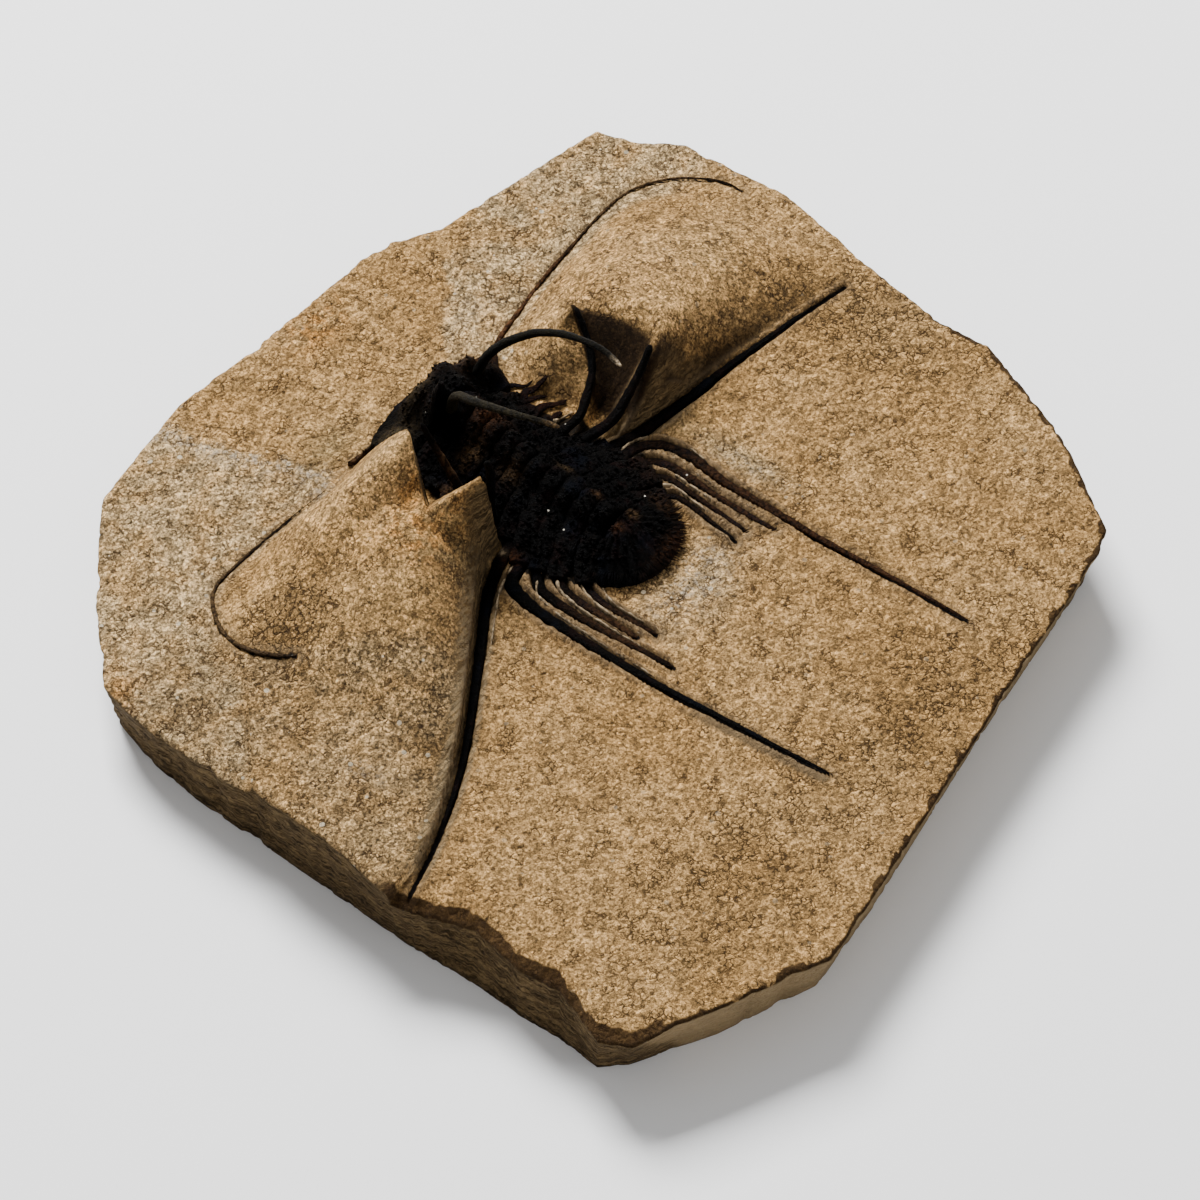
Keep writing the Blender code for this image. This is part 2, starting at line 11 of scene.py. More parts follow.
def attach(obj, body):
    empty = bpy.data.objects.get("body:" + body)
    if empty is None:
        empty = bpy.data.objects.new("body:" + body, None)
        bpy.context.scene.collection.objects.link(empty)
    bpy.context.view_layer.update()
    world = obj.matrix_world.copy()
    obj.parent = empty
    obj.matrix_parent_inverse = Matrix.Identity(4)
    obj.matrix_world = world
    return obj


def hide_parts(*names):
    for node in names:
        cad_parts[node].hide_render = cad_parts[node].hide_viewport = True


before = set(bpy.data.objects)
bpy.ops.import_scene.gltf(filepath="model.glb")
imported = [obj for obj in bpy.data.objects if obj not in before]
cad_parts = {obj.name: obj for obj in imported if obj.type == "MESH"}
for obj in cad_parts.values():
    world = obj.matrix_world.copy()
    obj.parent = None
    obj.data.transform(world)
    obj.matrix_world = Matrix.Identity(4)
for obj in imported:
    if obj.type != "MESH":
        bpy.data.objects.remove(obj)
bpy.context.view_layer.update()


# ---- The block of limestone ----
# A slab of tan limestone, broken round its edge. The bedding plane behind the animal was picked level,
# and two steep hills were left standing beside it to carry the tips of its raised spines.
# Lengths are mm: +Y to the animal's head, +X to its right, heights from the bedding plane.
PLANE = 12.75
MIDDLE = (2.05, -0.35)
OUTLINE = [(-33, 69.3, 1), (-11.7, 70.6, 1), (3.3, 67.6, 1.2), (26.2, 64.8, 1.5), (32, 63.4, 1.5),
    (38.7, 58.8, 1.2), (57.7, 54.2, 1.2), (69.4, 51.2, 1.5), (70.8, 45.4, 1.2), (75, 38, 1.5),
    (75.9, 20, 1.5), (72, 3.1, 1.2), (68.8, -14.7, 1.2), (69.3, -22.8, 1.5), (61.2, -42.4, 1.5),
    (50, -58.2, 2.9), (45.3, -59.9, 3.8), (17.3, -63.4, 3.6), (-22.4, -69, 3.7), (-40.1, -71.3, 4.8),
    (-56.4, -63.6, 4.2), (-69.9, -56.8, 5.4), (-71.8, -52, 3.6), (-67.6, -42, -0.6), (-68.2, -35, 0.1),
    (-65.9, -25.5, -1.7), (-69, -16.5, 1.6), (-70, -12.4, 3), (-67.6, 0, 1.3), (-66.2, 14, 0.9),
    (-65.4, 28, 1.1), (-64.4, 38, 1.8), (-61.6, 46.8, 2.1), (-50.2, 57.2, 0.8), (-39, 65.3, 0.8)]
FRONT_LEFT = [(-70, 12), (-58, 22), (-50, 29), (-45.3, 36.5), (-41.3, 41.9), (-37.5, 43.3), (-26.2, 42.5),
    (-12.6, 40.6), (-5, 40.8)]
BACK_LEFT = [(-72, -12.6), (-62, -12.2), (-54.1, -9.9), (-40.5, -3.9), (-32.3, 0.8), (-24.1, 5.7),
    (-16.2, 10.6), (-10.4, 13.4), (-5, 14)]
FRONT_RIGHT = [(18, 36.6), (26.4, 37.3), (40.1, 39), (54.2, 39.5), (60.2, 39.1), (64.3, 37.3), (68, 34.2),
    (70.7, 30.5), (72.5, 26)]
BACK_RIGHT = [(18, 11), (26.7, 9.8), (42, 7.7), (50.1, 6.2), (58.3, 4.5), (66, 2.6), (76, 0.5)]
CREST_LEFT = [(-72, 1.8), (-50, 1.9), (-45.5, 2.2), (-43, 4), (-38, 6.4), (-30, 9.4), (-20, 12.4),
    (-14, 11.6), (-6, 8.6)]
CREST_RIGHT = [(18, 10), (30, 11.8), (37.5, 11.3), (45, 9.6), (52.5, 7.2), (60, 4.4), (67, 1.7),
    (71.5, 0.2), (76, 0)]
REAR_LEFT = [(-72, 12), (-45, 14), (-24, 12.5), (-17.5, 10.5), (-13.4, 7), (-8, 2.6)]
REAR_RIGHT = [(28, 3.6), (31.2, 4.2), (36, 7), (42, 10), (50, 13), (60, 14), (76, 12)]
LEFT_PEAKS = [(-7.8, 28.9, 17.7, 0.1), (-7.9, 16.2, 16.6, 0.45)]
LEFT_VALLEY = (-7.2, 27, 0.8)
LEFT_WALL = [(13, -6.6), (18, -6.5), (22.5, -6.6), (26.2, -7.2), (29.5, -6), (34, -5.6), (41, -4.6)]
RIGHT_RIM = [(9, 31), (13, 31.3), (17.7, 32.2), (22.5, 31.6), (27, 30.4), (31, 31.6), (36, 34.5)]
HOLLOW = 3.4
REAR_BANK = 3.2
RIGHT_RAMPS = [
    [(17, 17.4, 0.6), (21.4, 18.3, 2.4), (25.9, 20.1, 4.1), (28.6, 23.8, 7.1), (30.2, 27.1, 12)],
    [(19, 13.9, 0.4), (24, 13.6, 3.8), (28.5, 13.7, 7), (31.2, 13.2, 10.7)],
]

# Lines of the spines that lie on the stone: half width at the root, then x, y from root to tip.
LAID = {
    "cheek_left": (0.42, [(-2.6, 40.2), (-6, 41.4), (-12.6, 41.6), (-19.6, 42.6), (-26.2, 43.4),
        (-32.8, 44.1), (-38.2, 43.9), (-42.4, 40.4), (-44.6, 36), (-44.9, 31.5), (-44.1, 27.2),
        (-43.1, 24.4)]),
    "cheek_right": (0.5, [(19.6, 36.2), (26.4, 38.2), (32.7, 39), (40.1, 39.9), (47.4, 40.2), (54.2, 40.4),
        (60.4, 40), (65, 38.1), (68.8, 34.8), (71.4, 30.7), (72.4, 27.4), (72, 25.1)]),
    "06_left": (1.05, [(-5.6, 12.6), (-10.4, 11.6), (-16.2, 9.2), (-24.1, 4.5), (-32.3, -0.3),
        (-40.5, -4.9), (-47.3, -8.2), (-54.1, -10.8), (-60.5, -12.9), (-67.5, -14.6)]),
    "06_right": (1.1, [(18.2, 11.6), (22.5, 10), (26.7, 9), (35.1, 7.5), (42, 6.5), (50.1, 4.9),
        (58.3, 3.2), (66, 1.4)]),
    "07_left": (1.15, [(-8.2, 9.1), (-11.6, 8), (-13.1, 4.2), (-13.9, -2), (-14.2, -10), (-14.3, -21),
        (-13.7, -34), (-13.2, -45), (-12.8, -51.5)]),
    "07_right": (1.1, [(18.2, 9), (21.4, 7.8), (23.6, 4.8), (24.1, 0.2), (23.2, -7), (23, -16), (22.8, -26),
        (23, -36), (23, -44), (23, -51.5)]),
    "08_left": (0.95, [(-7.8, 5.9), (-9.7, 4.2), (-10.6, 0), (-10.8, -6), (-10.6, -13), (-10.3, -21)]),
    "08_right": (0.8, [(18.6, 5.9), (20.2, 4.2), (20.9, 0.8), (20.5, -5), (20.1, -12), (20.2, -18)]),
    "09_left": (0.85, [(-7.2, 2.3), (-8, 0.4), (-8.5, -3), (-8.7, -8), (-8.9, -13.4)]),
    "09_right": (0.65, [(17.6, 2.7), (18.6, 1.2), (18.7, -1.8), (18.1, -7.5), (17.4, -14.6)]),
    "10_left": (0.7, [(-5.6, -1.3), (-6.1, -3.2), (-6.6, -6), (-6.7, -10), (-6.7, -15.4)]),
    "10_right": (0.6, [(15.6, -0.9), (16.6, -2.2), (16.5, -5), (15.8, -9.2), (14.9, -14.4)]),
}
# Thin ridges of stone left standing between the spines, and the margins of the body on the stone: (y, x).
RIDGES = [
    [(18.7, 9.7), (20.8, 9.5), (22.6, 8.8), (24.7, 6.6), (25.4, 4), (25.4, 1.5), (24.8, -2)],
    [(18.2, 7.2), (19.9, 6.9), (21.2, 6), (21.8, 4.5), (22.2, 2.2), (22.1, 0), (21.7, -4), (21.5, -9),
     (21.5, -14)],
    [(18.4, 4.6), (19.3, 3.4), (19.8, 1.6), (19.7, -1), (19.4, -4), (19.1, -8), (18.9, -12.5)],
    [(17, 0.6), (17.7, -0.6), (17.6, -3), (17.1, -6), (16.8, -9.5)],
    [(-7.6, 5.4), (-9.2, 4.9), (-10.8, 3.9), (-11.6, 2.6), (-12.2, 0.4), (-12.6, -2.5), (-12.9, -6),
     (-13.1, -10), (-13.3, -15), (-13.5, -20)],
    [(-7.6, 2.4), (-8.6, 1.2), (-9.2, -0.8), (-9.6, -3.2), (-9.8, -6), (-9.9, -9), (-10, -12.5),
     (-10, -16)],
    [(-6, -0.9), (-7, -2.8), (-7.5, -4.8), (-7.8, -7.1), (-7.9, -10), (-8.2, -13.5)],
    [(-4.6, -3.9), (-5.5, -5.4), (-5.9, -7.4), (-6, -10), (-6.1, -12.8)],
    [(17.1, 21.3), (19.3, 20.7), (20.8, 19.9)],
    [(-9, 9.6), (-13.6, 8.6), (-17.8, 6.4), (-23, 3.4)],
]
BODY_LEFT = [(-4, -4.6), (-1.3, -5.8), (2.3, -7.8), (5.6, -8.9), (8.4, -9.6), (12.4, -7.4), (16, -5.4),
    (33, -4.8)]
BODY_RIGHT = [(-4, 14.5), (-0.9, 16.2), (2.7, 18.6), (5.9, 19.9), (9, 20.2), (14, 19.4), (18, 20),
    (22, 18.6), (31, 18.8)]
GROOVES_ON_PAST_THE_SPINE = ("06_left", "06_right")
NESTED = ("07", "08", "09", "10")
RAMP_AHEAD, RAMP_BEHIND = [[spot[:2] for spot in ramp] for ramp in RIGHT_RAMPS]


def mm(x, y, height=0):
    """A point in metres, height counted from the bedding plane."""
    return Vector((x - MIDDLE[0], y - MIDDLE[1], height + PLANE)) * 0.001


def plan(point):
    """The x and y in mm of a point in metres."""
    return point.x * 1000 + MIDDLE[0], point.y * 1000 + MIDDLE[1]


def rim_of(bm):
    return [e for e in bm.edges if e.is_boundary]


def at(line, x):
    """Value of a broken line, given as (x, value) pairs in rising x."""
    if x <= line[0][0]:
        return line[0][1]
    for (x0, v0), (x1, v1) in zip(line, line[1:]):
        if x <= x1:
            return v0 + (v1 - v0) * (x - x0) / (x1 - x0)
    return line[-1][1]


def step(low, high, x):
    """Smooth step from 0 at low to 1 at high."""
    t = min(1, max(0, (x - low) / (high - low)))
    return t * t * (3 - 2 * t)


def fade(away, reach, power=2):
    """1 on a line, fading out over reach to either side."""
    return exp(-(away / reach) ** power)


def bump(x, y, cx, cy, rx, ry):
    """Soft spot: 1 at its middle, fading out over rx and ry."""
    return exp(-((x - cx) / rx) ** 2 - ((y - cy) / ry) ** 2)


def spots(x, y, places):
    """Soft spots added up, each given as its strength and then as bump takes it."""
    return sum(strength * bump(x, y, *place) for strength, *place in places)


def rough(x, y, scale, seed, octaves=3):
    """Rocky noise between about -1 and 1; scale is the size of its largest lumps, mm."""
    return noise.fractal(Vector((x / scale, y / scale, seed)), 0.8, 2.1, octaves)


def higher(a, b, soft=0):
    """The larger of two heights, with the seam rounded over soft mm."""
    lap = max(soft - abs(a - b), 0) / soft if soft else 0
    return max(a, b) + lap * lap * soft * 0.25


def lower(a, b, soft=0):
    return -higher(-a, -b, soft)


def to_line(points, x, y):
    """Distance in plan from (x, y) to a broken line, and the height of the line there."""
    best = (1e9, 0)
    for a, b in zip(points, points[1:]):
        ax, ay = b[0] - a[0], b[1] - a[1]
        t = ((x - a[0]) * ax + (y - a[1]) * ay) / (ax * ax + ay * ay)
        t = min(1, max(0, t))
        away = hypot(x - a[0] - t * ax, y - a[1] - t * ay)
        if away < best[0]:
            best = (away, a[2] + t * (b[2] - a[2]) if len(a) > 2 else 0)
    return best


def between(p, q, r, s, t):
    """Value at t from q to r on the smooth curve through p, q, r and s."""
    square = (2 * p - 5 * q + 4 * r - s) * t ** 2
    cube = (3 * q - p - 3 * r + s) * t ** 3
    return 0.5 * (2 * q + (r - p) * t + square + cube)


def curve(points, spacing):
    """Points of the smooth curve through the given ones, no further apart than spacing."""
    out = [points[0]]
    padded = [points[0], *points, points[-1]]
    for a, b, c, d in zip(padded, padded[1:], padded[2:], padded[3:]):
        count = max(1, ceil(dist(b, c) / spacing))
        for k in range(1, count + 1):
            out.append(tuple(between(*corners, k / count) for corners in zip(a, b, c, d)))
    return out


def arch(seam_back, seam_front, rear, y):
    """Shares of a hill's height behind its crest and in front of it; rear is the width behind the crest."""
    behind = min(1, (y - seam_back) / rear)
    ahead = min(1, (seam_front - y) / (seam_front - seam_back - rear))
    return 1 - (1 - behind) ** 1.75, 1 - (1 - ahead) ** 2.2


def sloped(hill, behind, ahead, soft):
    """A hill cut down to its slopes, behind and ahead mm in from its rear and front seams."""
    return lower(lower(hill, 9 * behind, soft), 1.7 * ahead + 0.2, 1)


def left_hill(x, y):
    back, front = at(BACK_LEFT, x), at(FRONT_LEFT, x)
    if not back < y < front or x > 0:
        return 0
    behind, ahead = arch(back, front, at(REAR_LEFT, x), y)
    hill = at(CREST_LEFT, x) * ahead
    for px, py, top, lean in LEFT_PEAKS:
        outwards = max(0, px - x)
        away = hypot(0.4 * outwards + max(0, x - px), y - py - lean * outwards)
        hill = higher(hill, top + 1.4 - hypot(1.4, 1.35 * away), 1.5)
    vx, vy, floor = LEFT_VALLEY
    outwards = max(0, vx - x)
    beside = y - vy + 0.73 * outwards
    side = 5 * beside if beside > 0 else -1.4 * beside
    hill = lower(hill, floor + 1.4 * outwards + side, 1.2)
    bank = min(hill, REAR_BANK)
    hill = bank + (hill - bank) * behind
    wobble = 0.3 * rough(y, x * 0.3, 2.2, 4, 2)
    wall = 12 * max(0, at(LEFT_WALL, y) + wobble - x)
    hill = lower(sloped(hill, y - back, front - y, 0.4), wall, 0.6)
    block = 1.8 * step(-38, -62, x)
    return max(hill, block, 0)


def hollow(x, y):
    """1 in the hollow between the two ridges of the right hill, 0 beyond them."""
    return step(-0.3, 1.8, at(RAMP_AHEAD, x) - y) * step(-0.3, 1.8, y - at(RAMP_BEHIND, x))


def right_hill(x, y):
    back, front = at(BACK_RIGHT, x), at(FRONT_RIGHT, x)
    if not back < y < front or x < 15:
        return 0
    hill = at(CREST_RIGHT, x) * min(arch(back, front, at(REAR_RIGHT, x), y))
    rim = at(RIGHT_RIM, y) + HOLLOW * hollow(x, y)
    hill = lower(hill, 11.4 - 1.15 * (rim - x), 3.4)
    for ramp in RIGHT_RAMPS:
        away, height = to_line(ramp, x, y)
        hill = higher(hill, height - 1.8 * away, 0.8)
    return max(sloped(hill, y - back, front - y, 0.5), 0)


def stone(x, y):
    """Height of the dressed stone, without its grain and the grooves."""
    fall = -5.5 * step(0, 1.6, (-0.55 * x + 0.75 * y - 30) / 55)
    return fall + left_hill(x, y) + right_hill(x, y)


def on_stone(x, y, lift):
    """A point in metres, lift mm above the dressed stone."""
    return mm(x, y, stone(x, y) + lift)


def narrowing(name, share):
    """Part of its root width that a laid spine keeps at a share of its length."""
    if name == "cheek_left":
        return max(1 - 15 * share, 0.12 + 0.78 * step(0.16, 0.85, share))
    if name == "cheek_right":
        return 0.4 + 0.6 * (1 - share) ** 3
    if name.startswith("06"):
        return 1 - 0.72 * share
    if name.startswith("07"):
        return 0.25 + 0.75 * (1 - share) ** 1.3
    return 0.45 + 0.55 * (1 - share)


def shown(name, share):
    """0 where the left cheek spine is still covered by stone, 1 elsewhere."""
    return max(step(0.1, 0.05, share), step(0.14, 0.24, share)) if name == "cheek_left" else 1


laid_points = []
for name, (half_width, route) in LAID.items():
    dense = curve(route, 0.3)
    for i, (x, y) in enumerate(dense):
        share = i / (len(dense) - 1)
        laid_points.append((x, y, half_width * narrowing(name, share), name, share))
nearest_spine = KDTree(len(laid_points))
for i, point in enumerate(laid_points):
    nearest_spine.insert((*point[:2], 0), i)
nearest_spine.balance()


def trace(x, y):
    """Distance to the middle of the nearest laid spine, its half width, its name and the share along it."""
    _, i, away = nearest_spine.find((x, y, 0))
    return (away, *laid_points[i][2:])


def groove(x, y):
    """Depth of the furrow round a spine and height of the rim beside it."""
    away, half, name, share = trace(x, y)
    kept = 1 - step(0.93, 1, share) if name not in GROOVES_ON_PAST_THE_SPINE else 1
    nested = 1 if name[:2] in NESTED and y < 8 else 0
    near = nested * (1 - step(-12, -26, y))
    dip = -0.7 * fade(away, half + 0.15, 4)
    rim = (0.3 + 0.75 * near) * fade(away - half - 0.5, 0.36)
    if name.startswith("cheek"):
        dip, rim = -0.45 * fade(away, half + 0.2), 0.15 * fade(away - 1, 0.5)
        kept *= shown(name, share)
    return (dip + rim) * kept


def grain(x, y, hill):
    """Pebbly relief of the picked surface, finer where the stone was rubbed smooth on the hills."""
    pebbly = 1 - 0.6 * step(1, 5, hill)
    pebble = 0.5 - noise.voronoi(Vector((x / 1.7, y / 1.7, 3)))[0][0]
    lumps = 0.3 * pebble + 0.2 * rough(x, y, 1.9, 1, 2) + 0.3 * rough(x, y, 11, 2, 2)
    return pebbly * lumps + (1 - pebbly) * 0.2 * rough(x, y, 4.5, 5, 3)


GREY_EDGE_LEFT = [(39.8, -12.2), (44.6, -10.8), (55.6, -14), (65.1, -16.5), (70, -18)]
GREY_EDGE_RIGHT = [(18, 42), (22.1, 46.5), (36.5, 54.3), (43.5, 56.6), (60, 58)]
COARSE_EDGE = [(-16, -26), (7.1, -30.7), (24.5, -42.3), (38, -45.7), (44, -52)]
OLIVE = [(0.75, -17, 14, 5, 5), (0.35, -30, 15, 9, 6), (0.3, -12, 33, 5, 4), (0.35, 56, 20, 9, 7),
    (0.5, 28.6, -6, 2.2, 8), (0.4, 30, 7, 6, 3), (0.85, -7, 46, 7, 3.4)]
CRACKED = [(1.3, -38.6, 28.8, 6.5, 5), (0.5, 6, -56, 22, 9), (0.5, 36, 27, 5, 5), (0.6, 64, -5, 10, 14),
    (0.4, -36, -52, 20, 10)]
ORANGE = [(1, 12, 62.5, 6, 4), (1, -20, 20, 4, 6), (0.8, -14, 24, 3, 3), (0.6, -62, 44, 5, 5),
    (0.5, -12, 17, 4, 2.5)]
FROST_BY_THE_TAIL = [(0.9, 5, -13.6, 8.5, 3.8), (0.45, 28, -7.5, 1.8, 8)]
FROST_AT_THE_RIM = [(0.5, -54, 3.5, 1.6, 3.2), (0.3, 27, 44, 5, 4)]


def coarse_at(x, y):
    """Share of the coarse grey-brown stone at the foot of the left hill."""
    inwards = at(COARSE_EDGE, y) - x + 2 * rough(x, y, 6, 23, 4)
    return step(-2, 3, inwards) * step(-1, 1, y - at(BACK_LEFT, x)) * step(46, 36, y)


def patches_of(x, y, hill):
    """Shares of coarse stone, of olive patches, of close dark cracks and of pale frost."""
    shore = at(GREY_EDGE_LEFT, y) - x + 2 * rough(x, y, 6, 20, 4)
    frost = spots(x, y, FROST_BY_THE_TAIL)
    frost += 0.9 * fade(shore - 1.4, 1.7) * step(1.5, 0.3, hill) * step(38, 42, y)
    frost += spots(x, y, FROST_AT_THE_RIM)
    return coarse_at(x, y), spots(x, y, OLIVE), spots(x, y, CRACKED), frost


def zones_of(x, y, hill):
    """Shares of grey stone, of burnt stain with painted shade, and of orange stone at a place, and of the
    picked surface.
    """
    ragged = 2 * rough(x, y, 6, 20, 4)
    plain = step(1.5, 0.3, hill)
    left = step(-0.8, 0.8, at(GREY_EDGE_LEFT, y) - x + ragged) * step(-2, 2, y - at(FRONT_LEFT, x))
    right = step(-0.8, 0.8, at(GREY_EDGE_RIGHT, x) - y + ragged) * step(12, 20, x) * step(30, 36, y)
    tail = bump(x, y, 4, -14.5, 11, 6.5)
    shadow = 0.5 * bump(x, y, -55, 3, 9, 7)
    outer_curl = 0.9 * bump(x, y, 28.4, -6, 2.6, 9)
    grey = max(left * plain, 0.55 * coarse_at(x, y), right * plain, tail, shadow, outer_curl)
    # painted shade: the hollow under the right hill's rim is painted dark as its shade, with a burnt stain
    # in it; painted shade also darkens the foot of both hills, the wall under the rear ridge and the stone
    # beside the body's right side
    outwards = x - at(RIGHT_RIM, y)
    inner = step(21, 25, x) * (0.75 * step(3, 0.6, outwards) + 0.25 * step(5, 1.6, outwards))
    ahead, behind = at(RAMP_AHEAD, x) - y, y - at(RAMP_BEHIND, x)
    over_left, over_right = y - at(BACK_LEFT, x), y - at(BACK_RIGHT, x)
    dim = step(-1.4, -0.2, ahead) * step(-0.3, 1.8, behind) * (0.85 + 0.15 * step(14, 22, y))
    below = 0.85 * step(0.6, -1.2, behind) * step(-0.5, 1, over_right)
    foot = 0.75 * step(3.5, 0, over_right) * step(-0.5, 0.5, over_right) * step(16, 24, x)
    rear = 0.45 * step(4, 0, over_left) * step(-0.5, 0.5, over_left) * step(0, -4, x)
    wing = 0.7 * bump(x, y, 33.5, 11.6, 4, 2.6)
    apron = 0.42 * bump(x, y, 22.5, 25, 4, 6) * step(0, 2, x - at(BODY_RIGHT, y))
    burn_stain_and_shade = max(inner * max(dim, below), foot * step(60, 40, x), rear * step(-44, -30, x), wing, apron)
    return grey, burn_stain_and_shade, spots(x, y, ORANGE), step(5, 1, hill)


def traces_of(x, y):
    """Shares of painted shade round the body, of the old bed of a spine, of streaked banks and of painted
    shade on the rear flanks.
    """
    ragged = 0.7 * rough(x, y, 2.6, 25, 3)
    # painted shade: near black on the stone under and right beside the body
    body_shade = step(-0.5, 0.9, x - at(BODY_LEFT, y) + ragged) * step(-0.5, 0.9, at(BODY_RIGHT, y) - x + ragged)
    body_shade *= step(-4.5, -2.5, y) * step(35, 31, y)
    away, half, name, along = trace(x, y)
    bed = bank = flank_shade = 0
    if name == "07_left" and x < -13.2:
        bed = step(-24, -32, y) * step(1.9, 1.5, away - half) * step(-52.5, -51, y)
    if name == "06_left" and away > half:
        front = y > at([(-67.5, -14.6), (-54.1, -10.8), (-40.5, -4.9), (-24.1, 4.5), (-5.6, 12.6)], x)
        bank = step(3.4 if front else 1.2, 0.6, away - half)
        bank *= step(0.03, 0.12, along) * step(0.99, 0.9, along)
    if name == "06_right" and away > half:
        bank = step(2.6, 0.5, away - half) * step(0.45, 0.1, along)
    # painted shade on the rear flanks: 1 at the foot of a flank, 0 at its crest
    behind_left = (y - at(BACK_LEFT, x)) / at(REAR_LEFT, x)
    behind_right = (y - at(BACK_RIGHT, x)) / at(REAR_RIGHT, x)
    if x < 0 and 0 < behind_left < 1:
        flank_shade = (1 - behind_left) * step(-62, -45, x)
    elif x > 18 and 0 < behind_right < 1:
        flank_shade = (1 - behind_right) * step(72, 55, x)
    return body_shade, bed, bank, flank_shade


def round_rim(outline, turn):
    """Place at a share of the way round a closed outline, counted against the order of its points."""
    corners = [*reversed(outline), outline[-1]]
    run = [0]
    for a, b in zip(corners, corners[1:]):
        run.append(run[-1] + dist(a[:2], b[:2]))
    along = (turn % 1) * run[-1]
    return tuple(at(list(zip(run, values)), along) for values in zip(*corners))


def ring_and_turn(corner):
    """Square ring of a grid that a corner lies on, 0 to 1, and its turn round that ring, 0 to 4."""
    u, v = corner.xy
    ring = max(abs(u), abs(v))
    if ring <= 1e-6:
        return ring, 0
    a, b = u / ring, v / ring
    if a >= abs(b) and a > 0:
        return ring, (b + 1) / 2
    if b >= abs(a) and b > 0:
        return ring, 1 + (1 - a) / 2
    if -a >= abs(b):
        return ring, 2 + (1 - b) / 2
    return ring, 3 + (a + 1) / 2


def drawn_out(bm, edges):
    """Extrudes a closed loop of edges: its new corners, each with the old one behind it, and its edges."""
    old = {v for e in edges for v in e.verts}
    grown = bmesh.ops.extrude_edge_only(bm, edges=edges)["geom"]
    verts = [g for g in grown if isinstance(g, bmesh.types.BMVert)]
    rim = [g for g in grown if isinstance(g, bmesh.types.BMEdge) and g.is_boundary]
    return {v: next(e.other_vert(v) for e in v.link_edges if e.other_vert(v) in old) for v in verts}, rim


def closed(bm, rim):
    """Closes an open rim with one face and turns all faces outwards."""
    bmesh.ops.contextual_create(bm, geom=rim)
    bmesh.ops.recalc_face_normals(bm, faces=bm.faces)


def chipping(x, y, inside):
    """Shares of the chips along the front edge and of the worn rim, inside mm from the edge."""
    chipped = step(-60, -66, x) * step(-8, -16, y) * step(-62, -54, y)
    width = 3 + 1.9 * rough(x, y, 4, 12, 3)
    worn = 0.75 * step(1, 0.2, inside + 0.9 * rough(x, y, 3, 13, 3)) * step(-5, -20, y)
    return chipped * step(width, 0.4 * width, inside), worn


def marks_of(x, y, chip, worn):
    """Shares of dark groove, of its pale lip, of chipped edge and of the brown stain and painted shade
    beside the groove.
    """
    away, half, name, along = trace(x, y)
    dark = fade(away, half + 0.1, 4)
    halo_stain_and_shade = fade(away, half + 1.4)
    if name.startswith("cheek"):
        dark = 0.8 * fade(away, half + 0.12, 4) * shown(name, along)
        halo_stain_and_shade = 0.35 * fade(away, 1.1) * shown(name, along)
    nested = step(-26, -12, y) if name[:2] in NESTED else 0
    light = fade(away - half - 0.5, 0.4) * (0.3 + 0.3 * nested)
    # the halo is made stronger near the body: painted shade between the nested spines
    halo_stain_and_shade *= 1 + 2 * nested * step(-20, -8, y)
    worn *= max(step(-40, 0, x), step(-55, -58, y))
    return dark, light, max(chip, worn), halo_stain_and_shade


NET = 284
HUB = (7, 10)
SIDE_ROWS = 10


